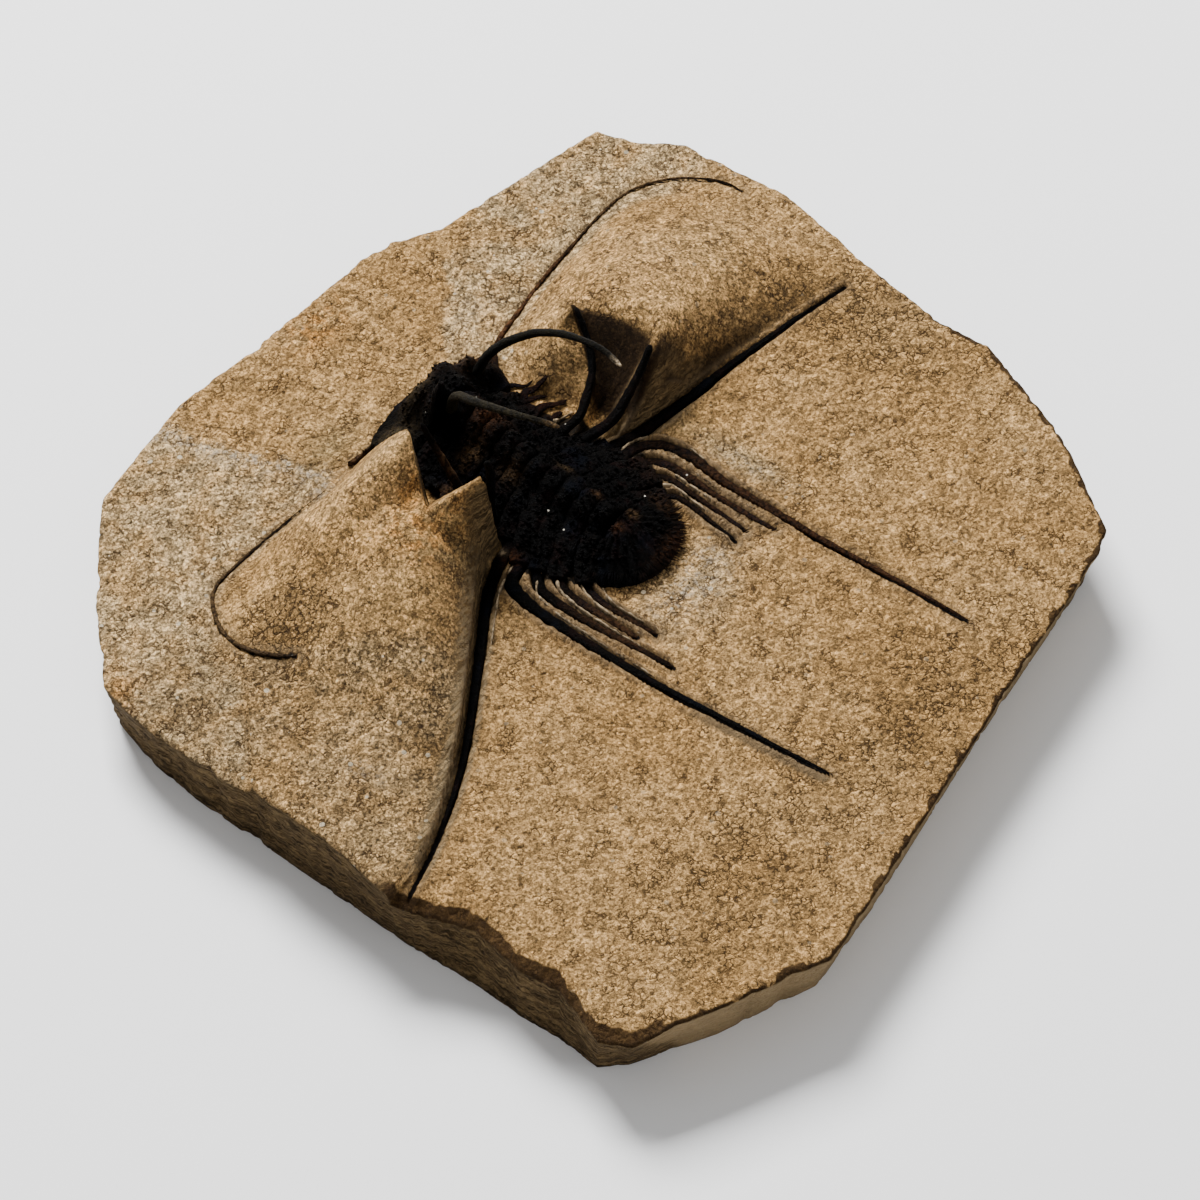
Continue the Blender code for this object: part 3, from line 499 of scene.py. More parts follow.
def make_block():
    bm = bmesh.new()
    layers = bm.verts.layers.float_color
    marks, zones, traces, patches = [layers.new(name) for name in ("marks", "zones", "traces", "patches")]
    bmesh.ops.create_grid(bm, x_segments=NET, y_segments=NET, size=1)
    outline = [round_rim(OUTLINE, k / (4 * NET)) for k in range(4 * NET)]
    for vert in bm.verts:
        ring, turn = ring_and_turn(vert.co)
        place = turn * NET
        k = int(place) % (4 * NET)
        part = place - int(place)
        p, q = outline[k], outline[(k + 1) % (4 * NET)]
        rx, ry = p[0] + part * (q[0] - p[0]), p[1] + part * (q[1] - p[1])
        out = Vector((rx - HUB[0], ry - HUB[1]))
        nick = 0.35 * rough(rx, ry, 5, 9, 3) + 0.25 * rough(rx, ry, 1.6, 9.5, 3)
        reach = out.length - max(0, nick) * 1.2
        share = ring ** 1.4
        x = HUB[0] + out.x / out.length * reach * share
        y = HUB[1] + out.y / out.length * reach * share
        inside = reach * (1 - share)
        hill = left_hill(x, y) + right_hill(x, y)
        chip, worn = chipping(x, y, inside)
        z = stone(x, y) + groove(x, y) + grain(x, y, hill)
        vert.co = mm(x, y, z - (0.35 * exp(-inside / 0.6) + 1.1 * chip))
        vert[marks] = marks_of(x, y, chip, worn)
        vert[zones] = zones_of(x, y, hill)
        vert[traces] = traces_of(x, y)
        vert[patches] = patches_of(x, y, hill)
    # the sides: rows of the rim drawn down to the underside
    rim = rim_of(bm)
    ring = {}
    for vert in {v for e in rim for v in e.verts}:
        x, y = plan(vert.co)
        undercut = min(outline, key=lambda p: (p[0] - x) ** 2 + (p[1] - y) ** 2)[2]
        ring[vert] = (x, y, vert.co.z * 1000 - PLANE, undercut)
    for row in range(1, SIDE_ROWS + 1):
        grown, rim = drawn_out(bm, rim)
        ring = {vert: ring[old] for vert, old in grown.items()}
        for vert, (x, y, top, undercut) in ring.items():
            share = (row / SIDE_ROWS) ** 0.85
            z = top + (-PLANE - top) * share
            out = Vector((x - HUB[0], y - HUB[1])).normalized()
            layers = 0.35 * noise.noise(Vector((x * 0.12, y * 0.12, z * 0.8)))
            broken = 0.4 * rough(x + 0.7 * y, z * 1.6, 2.6, 31, 3)
            sawn = 1 - 0.85 * step(-55, -58, y)
            uneven = max(0, 0.3 + (layers + broken) * sawn)
            back = undercut * share + uneven * min(1, 4 * share * (1 - share) + 0.25)
            vert.co = mm(x - out.x * back, y - out.y * back, z)
            vert[marks] = (0, 0, 0, 0)
            vert[zones] = (0, 0, 0, 1)
    closed(bm, rim)
    return bm


def piece(name, bm, finish, node):
    """A finished piece: its mesh, its finish and what it stands for."""
    mesh = bpy.data.meshes.new(name)
    bm.to_mesh(mesh)
    bm.free()
    mesh.shade_smooth()
    mesh.materials.append(finish)
    made = bpy.data.objects.new(name, mesh)
    bpy.context.collection.objects.link(made)
    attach(made, "root")
    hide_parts(node)
    return made


def node(kind, inputs, **settings):
    """A new node, in the tree that its first linked input comes from, with each input linked or set."""
    tree = next(value.id_data for value in inputs.values() if isinstance(value, bpy.types.NodeSocket))
    made = tree.nodes.new(kind)
    for name, value in settings.items():
        setattr(made, name, value)
    for key, value in inputs.items():
        if isinstance(value, bpy.types.NodeSocket):
            tree.links.new(value, made.inputs[key])
        else:
            made.inputs[key].default_value = value
    return made


def blank(name, roughness, specular):
    """A new material with its node tree, its shader and its coordinates in millimetres."""
    made = bpy.data.materials.new(name)
    made.use_nodes = True
    tree = made.node_tree
    shader = tree.nodes["Principled BSDF"]
    shader.inputs["Roughness"].default_value = roughness
    shader.inputs["Specular IOR Level"].default_value = specular
    place = tree.nodes.new("ShaderNodeTexCoord").outputs["Object"]
    in_mm = node("ShaderNodeMapping", {"Vector": place, "Scale": (1000, 1000, 1000)}).outputs["Vector"]
    return made, tree, shader, in_mm


def noise_of(where, scale, detail=3, roughness=0.55, output="Fac"):
    ends = {"Vector": where, "Scale": scale, "Detail": detail, "Roughness": roughness}
    return node("ShaderNodeTexNoise", ends).outputs[output]


def spread(value, low, high, to_low=0, to_high=1):
    """value spread smoothly from low..high over to_low..to_high."""
    ends = {"Value": value, "From Min": low, "From Max": high, "To Min": to_low, "To Max": to_high}
    return node("ShaderNodeMapRange", ends, interpolation_type="SMOOTHSTEP").outputs["Result"]


def maths(operation, *values):
    return node("ShaderNodeMath", dict(enumerate(values)), operation=operation).outputs["Value"]


def times(a, b):
    return maths("MULTIPLY", a, b)


def plus(a, b):
    return maths("ADD", a, b)


def vector_of(operation, inputs):
    return node("ShaderNodeVectorMath", inputs, operation=operation).outputs["Vector"]


def toned(colour, tone):
    """A colour made darker or lighter by tone."""
    return vector_of("SCALE", {0: colour, 3: tone})


def blend(share, a, b):
    """Colour a turned into colour b by share."""
    looks = {key: (*look, 1) if isinstance(look, tuple) else look for key, look in ((6, a), (7, b))}
    return node("ShaderNodeMix", {"Factor": share, **looks}, data_type="RGBA").outputs[2]


def coated(colour, share, most, look):
    """Colour covered with a look, by a share that counts up to most."""
    return blend(times(share, most) if most < 1 else share, colour, look)


def cells(where, scale, feature="F1"):
    return node("ShaderNodeTexVoronoi", {"Vector": where, "Scale": scale}, feature=feature).outputs


def channel(colour, name="Red"):
    return node("ShaderNodeSeparateColor", {"Color": colour}).outputs[name]


def layer_of(tree, name):
    """The four channels of one of the piece's own attributes."""
    read = tree.nodes.new("ShaderNodeAttribute")
    read.attribute_name = name
    parts = node("ShaderNodeSeparateColor", {"Color": read.outputs["Color"]})
    return (*[parts.outputs[k] for k in ("Red", "Green", "Blue")], read.outputs["Alpha"])


def finished(shader, colour, relief, strength, depth):
    """Puts the mixed colour and a fine relief, depth metres deep, on the shader."""
    links = colour.id_data.links
    links.new(colour, shader.inputs["Base Color"])
    raised = node("ShaderNodeBump", {"Height": relief, "Strength": strength, "Distance": depth})
    links.new(raised.outputs["Normal"], shader.inputs["Normal"])


def limestone():
    made, tree, shader, where = blank("limestone", 0.92, 0.1)
    dark, light, chip, halo_stain_and_shade = layer_of(tree, "marks")
    grey, burn_stain_and_shade, orange, picked = layer_of(tree, "zones")
    body_shade, bed, bank, flank_shade = layer_of(tree, "traces")
    coarse, olive, speckle, frost = layer_of(tree, "patches")

    def moved(scale, reach):
        """Coordinates shaken by soft noise, so that what reads them is irregular."""
        sway = noise_of(where, scale, 2, 0.5, "Color")
        sway = vector_of("SCALE", {0: vector_of("ADD", {0: sway, 1: (-0.5, -0.5, -0.5)}), 3: reach})
        return vector_of("ADD", {0: where, 1: sway})

    uneven = moved(0.9, 1.6)
    # tan stone in broad clouds, with grey and orange patches, and burnt patches of stain and painted shade
    broad = spread(noise_of(where, 0.06, 4, 0.6), 0.36, 0.64)
    colour = blend(broad, (0.44, 0.263, 0.102), (0.372, 0.213, 0.076))
    mottled = times(grey, spread(noise_of(where, 0.16, 4, 0.62), 0.36, 0.6, 0.3, 1))
    colour = blend(mottled, colour, (0.415, 0.285, 0.142))
    speckled = spread(noise_of(where, 0.5, 4, 0.65), 0.4, 0.6)
    colour = coated(colour, olive, 0.8, (0.205, 0.145, 0.066))
    colour = coated(colour, times(orange, speckled), 0.85, (0.38, 0.165, 0.035))
    # its grains: fine sand, small crystals and pebbles of uneven tone
    sand = noise_of(where, 2.4, 5, 0.82)
    patchy = noise_of(uneven, 0.42, 4, 0.62)
    small = cells(moved(1.6, 0.7), 2.1)
    pebble = cells(uneven, 0.78)
    tone = times(spread(sand, 0.3, 0.7, 0.26, 1.76), spread(patchy, 0.34, 0.66, 0.85, 1.12))
    tone = times(tone, spread(channel(small["Color"]), 0, 1, 0.66, 1.34))
    tone = times(tone, spread(channel(pebble["Color"]), 0, 1, 0.88, 1.12))
    strength = plus(spread(picked, 0, 1, 1.55, 1.25), times(maths("MAXIMUM", coarse, grey), 0.35))
    colour = toned(colour, times(maths("POWER", tone, strength), spread(coarse, 0, 1, 1.04, 0.8)))
    glassy = spread(noise_of(moved(2, 0.5), 1.2, 5, 0.75), 0.47, 0.62)
    colour = blend(times(frost, glassy), colour, (0.56, 0.45, 0.32))
    # short dark cracks between the pebbles, dark pits and pale crystals
    seam = cells(uneven, 0.78, "DISTANCE_TO_EDGE")["Distance"]
    broken = spread(plus(noise_of(where, 0.3, 4, 0.65), times(speckle, 0.22)), 0.47, 0.62)
    crack = times(spread(seam, 0.02, 0.09, 1, 0), broken)
    hair = maths("COMPARE", noise_of(where, 0.62, 4, 0.65), 0.5, 0.007)
    hairs = times(hair, spread(noise_of(where, 0.31, 3), 0.48, 0.6))
    dots = cells(where, 0.62)
    chosen = channel(dots["Color"])
    size = spread(channel(dots["Color"], "Green"), 0, 1, 0.08, 0.26)
    nearby = maths("LESS_THAN", dots["Distance"], size)
    pits = times(nearby, spread(chosen, 0.66, 0.7))
    glints = times(nearby, spread(chosen, 0.115, 0.085))
    crack = maths("MAXIMUM", maths("MAXIMUM", crack, hairs), times(pits, 0.8))
    colour = coated(colour, crack, 0.88, (0.048, 0.024, 0.009))
    colour = blend(times(glints, spread(plus(grey, coarse), 0, 0.6, 0.2, 0.85)), colour, (0.72, 0.6, 0.42))
    colour = toned(colour, spread(speckle, 0, 1, 1, 0.58))
    # painted shade darkening the rear flanks towards their foot, the streaked banks and the old bed beside
    # the long spines
    colour = toned(colour, spread(flank_shade, 0, 1, 1.05, 0.48))
    turned = node("ShaderNodeMapping", {"Vector": where, "Rotation": (0, 0, -0.52),
                                        "Scale": (0.16, 2.4, 1)}).outputs["Vector"]
    strands = spread(noise_of(turned, 0.9, 3, 0.6), 0.38, 0.62)
    colour = coated(colour, bank, 0.75, blend(strands, (0.115, 0.075, 0.032), (0.36, 0.27, 0.15)))
    worn = toned((0.175, 0.12, 0.062), spread(sand, 0.3, 0.7, 0.75, 1.25))
    colour = coated(colour, bed, 0.9, worn)
    # stains and painted shade: burnt stain and painted shade under the overhang, brown stain and painted
    # shade beside the spines, pale lips beside them, black in their grooves, painted shade round the body,
    # brown chips at the rim
    for share, most, look in (
            (spread(plus(burn_stain_and_shade, times(sand, 0.35)), 0.2, 1), 0.97, (0.012, 0.005, 0.001)),
            (halo_stain_and_shade, 0.3, (0.09, 0.048, 0.018)), (light, 0.75, (0.42, 0.3, 0.17)),
            (spread(dark, 0.3, 0.7), 1, (0.005, 0.003, 0.002)),
            (spread(plus(body_shade, times(sand, 0.5)), 0.45, 0.95), 0.97, (0.004, 0.003, 0.002)),
            (spread(plus(chip, times(sand, 0.4)), 0.4, 0.62), 0.92, (0.036, 0.017, 0.005))):
        colour = coated(colour, share, most, look)
    # the broken side: olive-brown bedding streaks
    normal = tree.nodes.new("ShaderNodeNewGeometry").outputs["Normal"]
    upright = node("ShaderNodeSeparateXYZ", {"Vector": normal}).outputs["Z"]
    side = spread(upright, 0.25, 0.55, 1, 0)
    flat = vector_of("MULTIPLY", {0: uneven, 1: (0.28, 0.28, 2.4)})
    streak = spread(noise_of(flat, 1.1, 5, 0.7), 0.38, 0.62)
    sides = blend(streak, (0.045, 0.027, 0.01), (0.25, 0.165, 0.074))
    sides = toned(sides, spread(sand, 0.3, 0.7, 0.7, 1.3))
    # its rear end was sawn, and is smooth and pale; the pale colour is partly the stone and partly painted
    # light where that side stands in shade
    sawn = spread(node("ShaderNodeSeparateXYZ", {"Vector": where}).outputs["Y"], -55.6, -57.6)
    sides = blend(sawn, sides, toned((0.35, 0.245, 0.125), spread(streak, 0, 1, 0.85, 1.1)))
    colour = blend(side, colour, sides)
    relief = times(spread(pebble["Distance"], 0.1, 0.8, 0.8, 0), picked)
    for part, height in ((sand, 1.1), (patchy, 1), (crack, -0.6)):
        relief = plus(relief, times(part, height))
    relief = plus(relief, times(times(streak, side), spread(sawn, 0, 1, 0.5, 0)))
    finished(shader, colour, relief, 1, 0.0008)
    return made


piece("limestone_block", make_block(), limestone(), "matrix")


# ---- The shell: shared ways of building it ----
# Fossil calcite shell, jet black to red-brown, glossy where it was brushed clean and rough with grains.
# Each plate is a closed skin that stands in the stone; spines are long tapering tubes.
def skin(bm, stations, sides, boxy=1):
    """Closed tube through stations of (centre, side, up, half width, half height), in metres; boxy below 1
    squares its section."""
    first = bmesh.ops.create_circle(bm, segments=sides, radius=1)["verts"]
    turns = {v: atan2(v.co.y, v.co.x) for v in first}
    edges = list(dict.fromkeys(e for v in first for e in v.link_edges))
    bmesh.ops.contextual_create(bm, geom=edges)
    for row, (centre, side, up, half_width, half_height) in enumerate(stations):
        if row:
            grown, edges = drawn_out(bm, edges)
            turns = {vert: turns[old] for vert, old in grown.items()}
        for vert, turn in turns.items():
            c, s = cos(turn), sin(turn)
            flat = 0.75 if s < 0 else 1
            c, s = copysign(abs(c) ** boxy, c), copysign(abs(s) ** boxy, s)
            vert.co = centre + side * (half_width * c) + up * (half_height * s * flat)
    bmesh.ops.contextual_create(bm, geom=edges)


def frames(path):
    """Side and up vector at every point of a path in metres."""
    out = []
    side = Vector((0, 1, 0))
    for i in range(len(path)):
        along = (path[min(len(path) - 1, i + 1)] - path[max(0, i - 1)]).normalized()
        level = Vector((along.x, along.y, 0))
        if level.length > 0.15:
            side = Vector((0, 0, 1)).cross(level).normalized()
        out.append((side, along.cross(side).normalized()))
    return out


def spine(bm, path, half_width, taper, flatten, sides, knots=0.06, name=None):
    """Spine through a path in metres, half_width mm at its root. It loses the share taper of that width, or
    narrows as the laid spine of that name does."""
    stations = []
    for i, (centre, (side, up)) in enumerate(zip(path, frames(path))):
        share = i / (len(path) - 1)
        kept = narrowing(name, share) if name else 1 - taper * share
        half = half_width * kept * min(1, sqrt(max(0, 1 - share) * 14) + 0.08)
        half *= 1 + knots * 2 * noise.noise(centre * 900)
        stations.append((centre, side, up, half * 0.001, half * flatten * 0.001))
    skin(bm, stations, sides)


def weather(bm, amount, scale, seed):
    """Roughens a skin by amount mm, with lumps of scale mm."""
    bm.normal_update()
    for vert in bm.verts:
        spot = vert.co * (1000 / scale)
        lump = noise.fractal(spot + Vector((seed, 0, 0)), 0.7, 2.1, 3)
        vert.co += vert.normal * (lump * amount * 0.001)


def thorn(bm, root, heading, length, radius, sides=6):
    """Small sharp spine from root along heading, all in metres."""
    turn = heading.to_track_quat("Z", "Y").to_matrix().to_4x4()
    place = Matrix.Translation(root + heading.normalized() * (0.35 * length)) @ turn
    bmesh.ops.create_cone(bm, cap_ends=True, segments=sides, radius1=radius, radius2=radius * 0.12,
                          depth=length, matrix=place)


# Brown, tan, olive and pale places on the black shell: x, y, reach in x and y, and the four shares.
TINTS = [(7.6, 26.1, 2.4, 2.2, 0.45, 0.1, 0, 0), (1.9, 25.7, 1.8, 1.4, 0.2, 0.25, 0.1, 0),
    (-3.8, 25.2, 1.2, 1.6, 0.3, 0.25, 0, 0), (2.6, 18.7, 1.3, 1.6, 0.15, 0.15, 0.1, 0),
    (7.5, 12, 0.9, 1.1, 0.05, 0.2, 0.1, 0), (7, -0.9, 0.8, 0.9, 0.1, 0.28, 0, 0),
    (6.2, 5.1, 0.7, 0.8, 0.2, 0.14, 0.05, 0), (3.3, -0.8, 0.8, 0.7, 0.5, 0.1, 0, 0),
    (9, -8, 5, 1.4, 0.3, 0.05, 0.05, 0), (13.5, -3, 1.6, 3, 0.2, 0.05, 0.1, 0),
    (-7.9, 12.6, 0.5, 0.8, 0, 0.4, 0, 0.5), (6.4, 39.2, 2, 1.6, 0.1, 0.1, 0.35, 0),
    (14.8, 36.8, 2, 1.6, 0.2, 0.1, 0.2, 0), (-1.6, 38, 3.8, 2.2, 0.15, 0.05, 0.55, 0),
    (-6.4, 40.8, 1.6, 1.2, 0.7, 0.2, 0.3, 0), (22, -8, 4.5, 12, 0.26, 0.06, 0.05, 0),
    (23, -34, 3, 16, 0.3, 0.1, 0, 0), (-9, -10, 2.6, 7, 0.3, 0.15, 0, 0), (20, 24.6, 3, 5, 0.15, 0, 0, 0),
    (34, 38.5, 14, 3, 0.7, 0.25, 0, 0), (-38, 38, 14, 12, 0.3, 0.35, 0.3, 0),
    (62, 36, 14, 12, 0.3, 0.25, 0.2, 0), (-8.6, 10.4, 1.5, 1.5, 0.35, 0.05, 0, 0)]


def tinted(bm, places):
    """Writes the shares of the tint at every corner of a piece."""
    tint = bm.verts.layers.float_color.new("tint")
    for vert in bm.verts:
        x, y = plan(vert.co)
        shares = [0, 0, 0, 0]
        for cx, cy, rx, ry, *amounts in places:
            if abs(x - cx) < 2.5 * rx and abs(y - cy) < 2.5 * ry:
                near = bump(x, y, cx, cy, rx, ry)
                shares = [share + near * amount for share, amount in zip(shares, amounts)]
        vert[tint] = shares
    return bm


def shell(name, brown, gloss):
    """Black fossil shell, dense with fine brown grains, and with a few bright specks that are calcite and
    painted glints of light.
    """
    made, tree, shader, where = blank(name, gloss, 0.03)
    red, tan, olive, pale = layer_of(tree, "tint")
    fine = noise_of(where, 1.5, 6, 0.72)
    patches = spread(noise_of(where, 0.32, 4, 0.6), 0.52, 0.68)
    colour = blend(times(patches, brown), (0.0005, 0.0004, 0.0004), (0.006, 0.002, 0.0015))
    colour = blend(spread(fine, 0.56, 0.7, 0, 0.4), colour, (0.012, 0.008, 0.005))
    blue = spread(noise_of(where, 0.2, 2), 0.55, 0.7, 0, 0.5)
    colour = blend(blue, colour, (0.001, 0.002, 0.005))
    grainy = spread(fine, 0.4, 0.62, 0.12, 1)
    for share, look in ((red, (0.09, 0.026, 0.01)), (tan, (0.23, 0.14, 0.062)),
                        (olive, (0.07, 0.06, 0.03)), (pale, (0.48, 0.37, 0.24))):
        colour = blend(times(share, grainy), colour, look)
    # bright specks: pale calcite that also stands in for glints, painted highlights on the black shell
    specks = cells(where, 0.75)
    calcite_and_glints = spread(specks["Distance"], 0.1, 0.15, 1, 0)
    few = spread(channel(specks["Color"]), 0.965, 0.97)
    calcite_and_glints = times(times(calcite_and_glints, few), spread(olive, 0, 0.1, 1, 0))
    colour = blend(calcite_and_glints, colour, (0.75, 0.7, 0.6))
    tree.links.new(spread(fine, 0.35, 0.7, gloss - 0.1, gloss + 0.25), shader.inputs["Roughness"])
    finished(shader, colour, plus(fine, noise_of(where, 4, 2)), 0.9, 0.0005)
    return made


def lie(route, lift, spacing=0.6):
    """Path in metres of a spine that lies on the dressed stone, its centre lift mm above it."""
    return [on_stone(x, y, lift) for x, y in curve(route, spacing)]


# ---- Ridges of stone between the spines ----
# Sharp thin walls of pale stone that the preparator left between the spines where they bend away from
# the body.
bm = bmesh.new()
for route in RIDGES:
    spine(bm, lie(route, 0.25, 0.5), 0.23, 0.5, 2.8, 8, 0.5)
weather(bm, 0.07, 0.8, 90)
bmesh.ops.recalc_face_normals(bm, faces=bm.faces)
ridge_finish, tree, shader, where = blank("ridge_stone", 0.9, 0.2)
tone = spread(noise_of(where, 1.3, 5, 0.7), 0.36, 0.62)
tree.links.new(blend(tone, (0.06, 0.04, 0.02), (0.34, 0.255, 0.155)), shader.inputs["Base Color"])
piece("stone_ridges", bm, ridge_finish, "matrix")


# ---- Cephalon: the head shield ----
# One plate of shell, domed over the glabella, with a swollen eye lobe and a cheek on each side. Two curved
# horns grow from its rear edge back over the body, and a thin spine sweeps out from each cheek.
HEAD = [(-7.8, 41.7), (-4.2, 40.6), (-1, 41.6), (5, 42.4), (11, 41.8), (16.6, 39.6), (20.4, 37.9),
    (23.2, 36.4), (20.9, 34.4), (19.8, 32.2), (18.8, 30.6), (14, 31.2), (8.2, 32.3), (2, 33.4),
    (-3.4, 34.4), (-4.4, 37)]
HEAD_SWELLINGS = [(9, 9, 33.4, 3.8, 4.2), (5.4, 10.8, 37.9, 2.7, 2.4), (5.4, 5.8, 38.2, 2.6, 2.6),
    (3.6, -0.8, 36.8, 2.2, 2.8), (5.8, 15.2, 35.8, 2.6, 2.4), (3.6, 18.8, 33, 2, 2.2),
    (10.5, 4.2, 33, 2, 2.4)]
HEAD_HUB = (8.5, 36.6)
HEAD_NET = 64
HEAD_WARTS = 200
HORNS = [
    [(5.2, 31.6, 8), (4, 30.2, 12.6), (3, 28.2, 15.6), (2.2, 25.9, 17.2), (1.7, 22.8, 18.7),
     (1.5, 16.5, 21), (2, 12.5, 21.9), (2.6, 9.3, 22.2)],
    [(14, 33.2, 7), (14.9, 31.8, 11.2), (16.2, 29.5, 14.5), (17.4, 26.9, 16.8), (18.3, 24.6, 18.3),
     (18.9, 20.9, 20), (18.9, 16.8, 21.3), (18.7, 12.9, 21.9), (17.6, 8.9, 22.1)],
]


def make_head():
    bm = bmesh.new()
    free_edge = HEAD[15:] + HEAD[:11]
    bmesh.ops.create_grid(bm, x_segments=HEAD_NET, y_segments=HEAD_NET, size=1)
    for vert in bm.verts:
        ring, turn = ring_and_turn(vert.co)
        rx, ry = round_rim(HEAD, turn / 4)
        x = HEAD_HUB[0] + (rx - HEAD_HUB[0]) * ring
        y = HEAD_HUB[1] + (ry - HEAD_HUB[1]) * ring
        edge = min(1, to_line(free_edge, x, y)[0] / 2.4) ** 0.7
        lumps = 0.3 * rough(x, y, 2.4, 40, 3)
        vert.co = on_stone(x, y, 1.2 + (spots(x, y, HEAD_SWELLINGS) + lumps) * edge)
    grown, rim = drawn_out(bm, rim_of(bm))
    for vert in grown:
        vert.co.z = on_stone(*plan(vert.co), -0.8).z
    closed(bm, rim)
    weather(bm, 0.14, 0.9, 3)
    draw = random.Random(11)
    upper = [f for f in bm.faces if f.normal.z > 0.1 and f.calc_center_median().z > mm(0, 0, 2.5).z]
    roots = [(f.calc_center_median(), f.normal.copy()) for f in upper]
    for root, normal in draw.sample(roots, HEAD_WARTS):
        heading = normal + Vector((0, -0.3, 0.1))
        thorn(bm, root, heading, draw.uniform(0.0002, 0.0006), draw.uniform(0.00022, 0.00042))
    return bm


black_shell = shell("black_shell", 0.6, 0.45)
bm = make_head()
for name in ("cheek_left", "cheek_right"):
    half_width, route = LAID[name]
    spine(bm, lie(route, 0), half_width, 0.5, 0.9, 8, 0.2, name)
piece("head_shield", tinted(bm, TINTS), black_shell, "cephalon")
bm = bmesh.new()
for route in HORNS:
    spine(bm, [mm(*point) for point in curve(route, 0.4)], 0.95, 0.55, 1, 14)
bmesh.ops.recalc_face_normals(bm, faces=bm.faces)
HORN_TINTS = [(2.5, 22, 5, 30, 0, 0.02, 0.22, 0), (18, 22, 5, 30, 0, 0, 0.12, 0),
    (2.6, 9.3, 1.8, 1.8, 0.2, 0.8, 0, 0), (17.6, 8.9, 1.2, 1.5, 0, 0.2, 0, 1.2)]
piece("horns", tinted(bm, HORN_TINTS), shell("olive_horn", 0.2, 0.42), "cephalon")


# ---- Thorax: ten body segments ----
# Ten jointed rings, each with a raised axis and a pleura on either side that ends in a spine. The front
# ones are short, the fourth and fifth stand up to the hills, the rest sweep out or back over the stone.
MIDLINE = [(-12, 5), (6, 5), (15, 5.4), (22.5, 6.4), (31, 8), (42, 9.8)]
MARGINS = [(-3.9, 18.2, 0.3, 0.4), (-4, 17.4, 0.3, 0.4), (-4.2, 17, 0.4, 0.8), (-4.2, 16.4, 0.9, 1.2),
    (-4.3, 17.4, 1.5, 1.6), (-5.6, 18.2, 2.6, 2.1), (-8.2, 18.2, 3.6, 2.6), (-7.8, 18.6, 3.4, 3.1),
    (-7.2, 17.6, 3.7, 3.3), (-5.6, 15.6, 4.2, 3.8)]
SHORT = {
    "01_left": [(-4.8, 32.5)],
    "02_left": [(-5, 29.2)],
    "03_left": [(-5.3, 26.2)],
    "01_right": [(19.7, 28.4), (21, 27.4), (22.7, 26.4)],
    "02_right": [(19.2, 24.4), (20.7, 23), (22, 22.3)],
    "03_right": [(18.5, 22), (19.8, 21.4)],
}
STANDING = {
    "04_left": (0.85, [(-4.4, 22.4, 4), (-4.4, 25.2, 8), (-4.8, 27.6, 12.4), (-5.6, 29.2, 17)]),
    "05_left": (1, [(-4.5, 17.4, 4.6), (-4.6, 17.1, 9), (-5, 16.7, 13.2), (-6.2, 16.4, 17.6)]),
    "04_right": (0.85, [(18.8, 17.7, 2.9), (21.6, 18.4, 4.2), (25.4, 20, 5.9), (27.9, 22.6, 8.6),
        (29.6, 26.2, 12.4)]),
    "05_right": (1, [(20.9, 13.2, 2.9), (24.4, 12.8, 5.5), (28.3, 12.8, 8.8), (30.8, 12.9, 11.8)]),
}
SEEN = {"06_left": 8, "06_right": 7}
BLADES = [
    [(18.2, 31.6), (19.6, 30.9), (20.5, 29.3), (21.7, 28.5)],
    [(17.4, 27.6), (19.6, 26.6), (21, 25.2)],
]
SEGMENTS = 10
PITCH = 3.03
FIRST = 30.2
AXIS_HEIGHT = 9.6
AXIS_FALL = 0.42
STATIONS = 130
SEGMENT_WARTS = 170


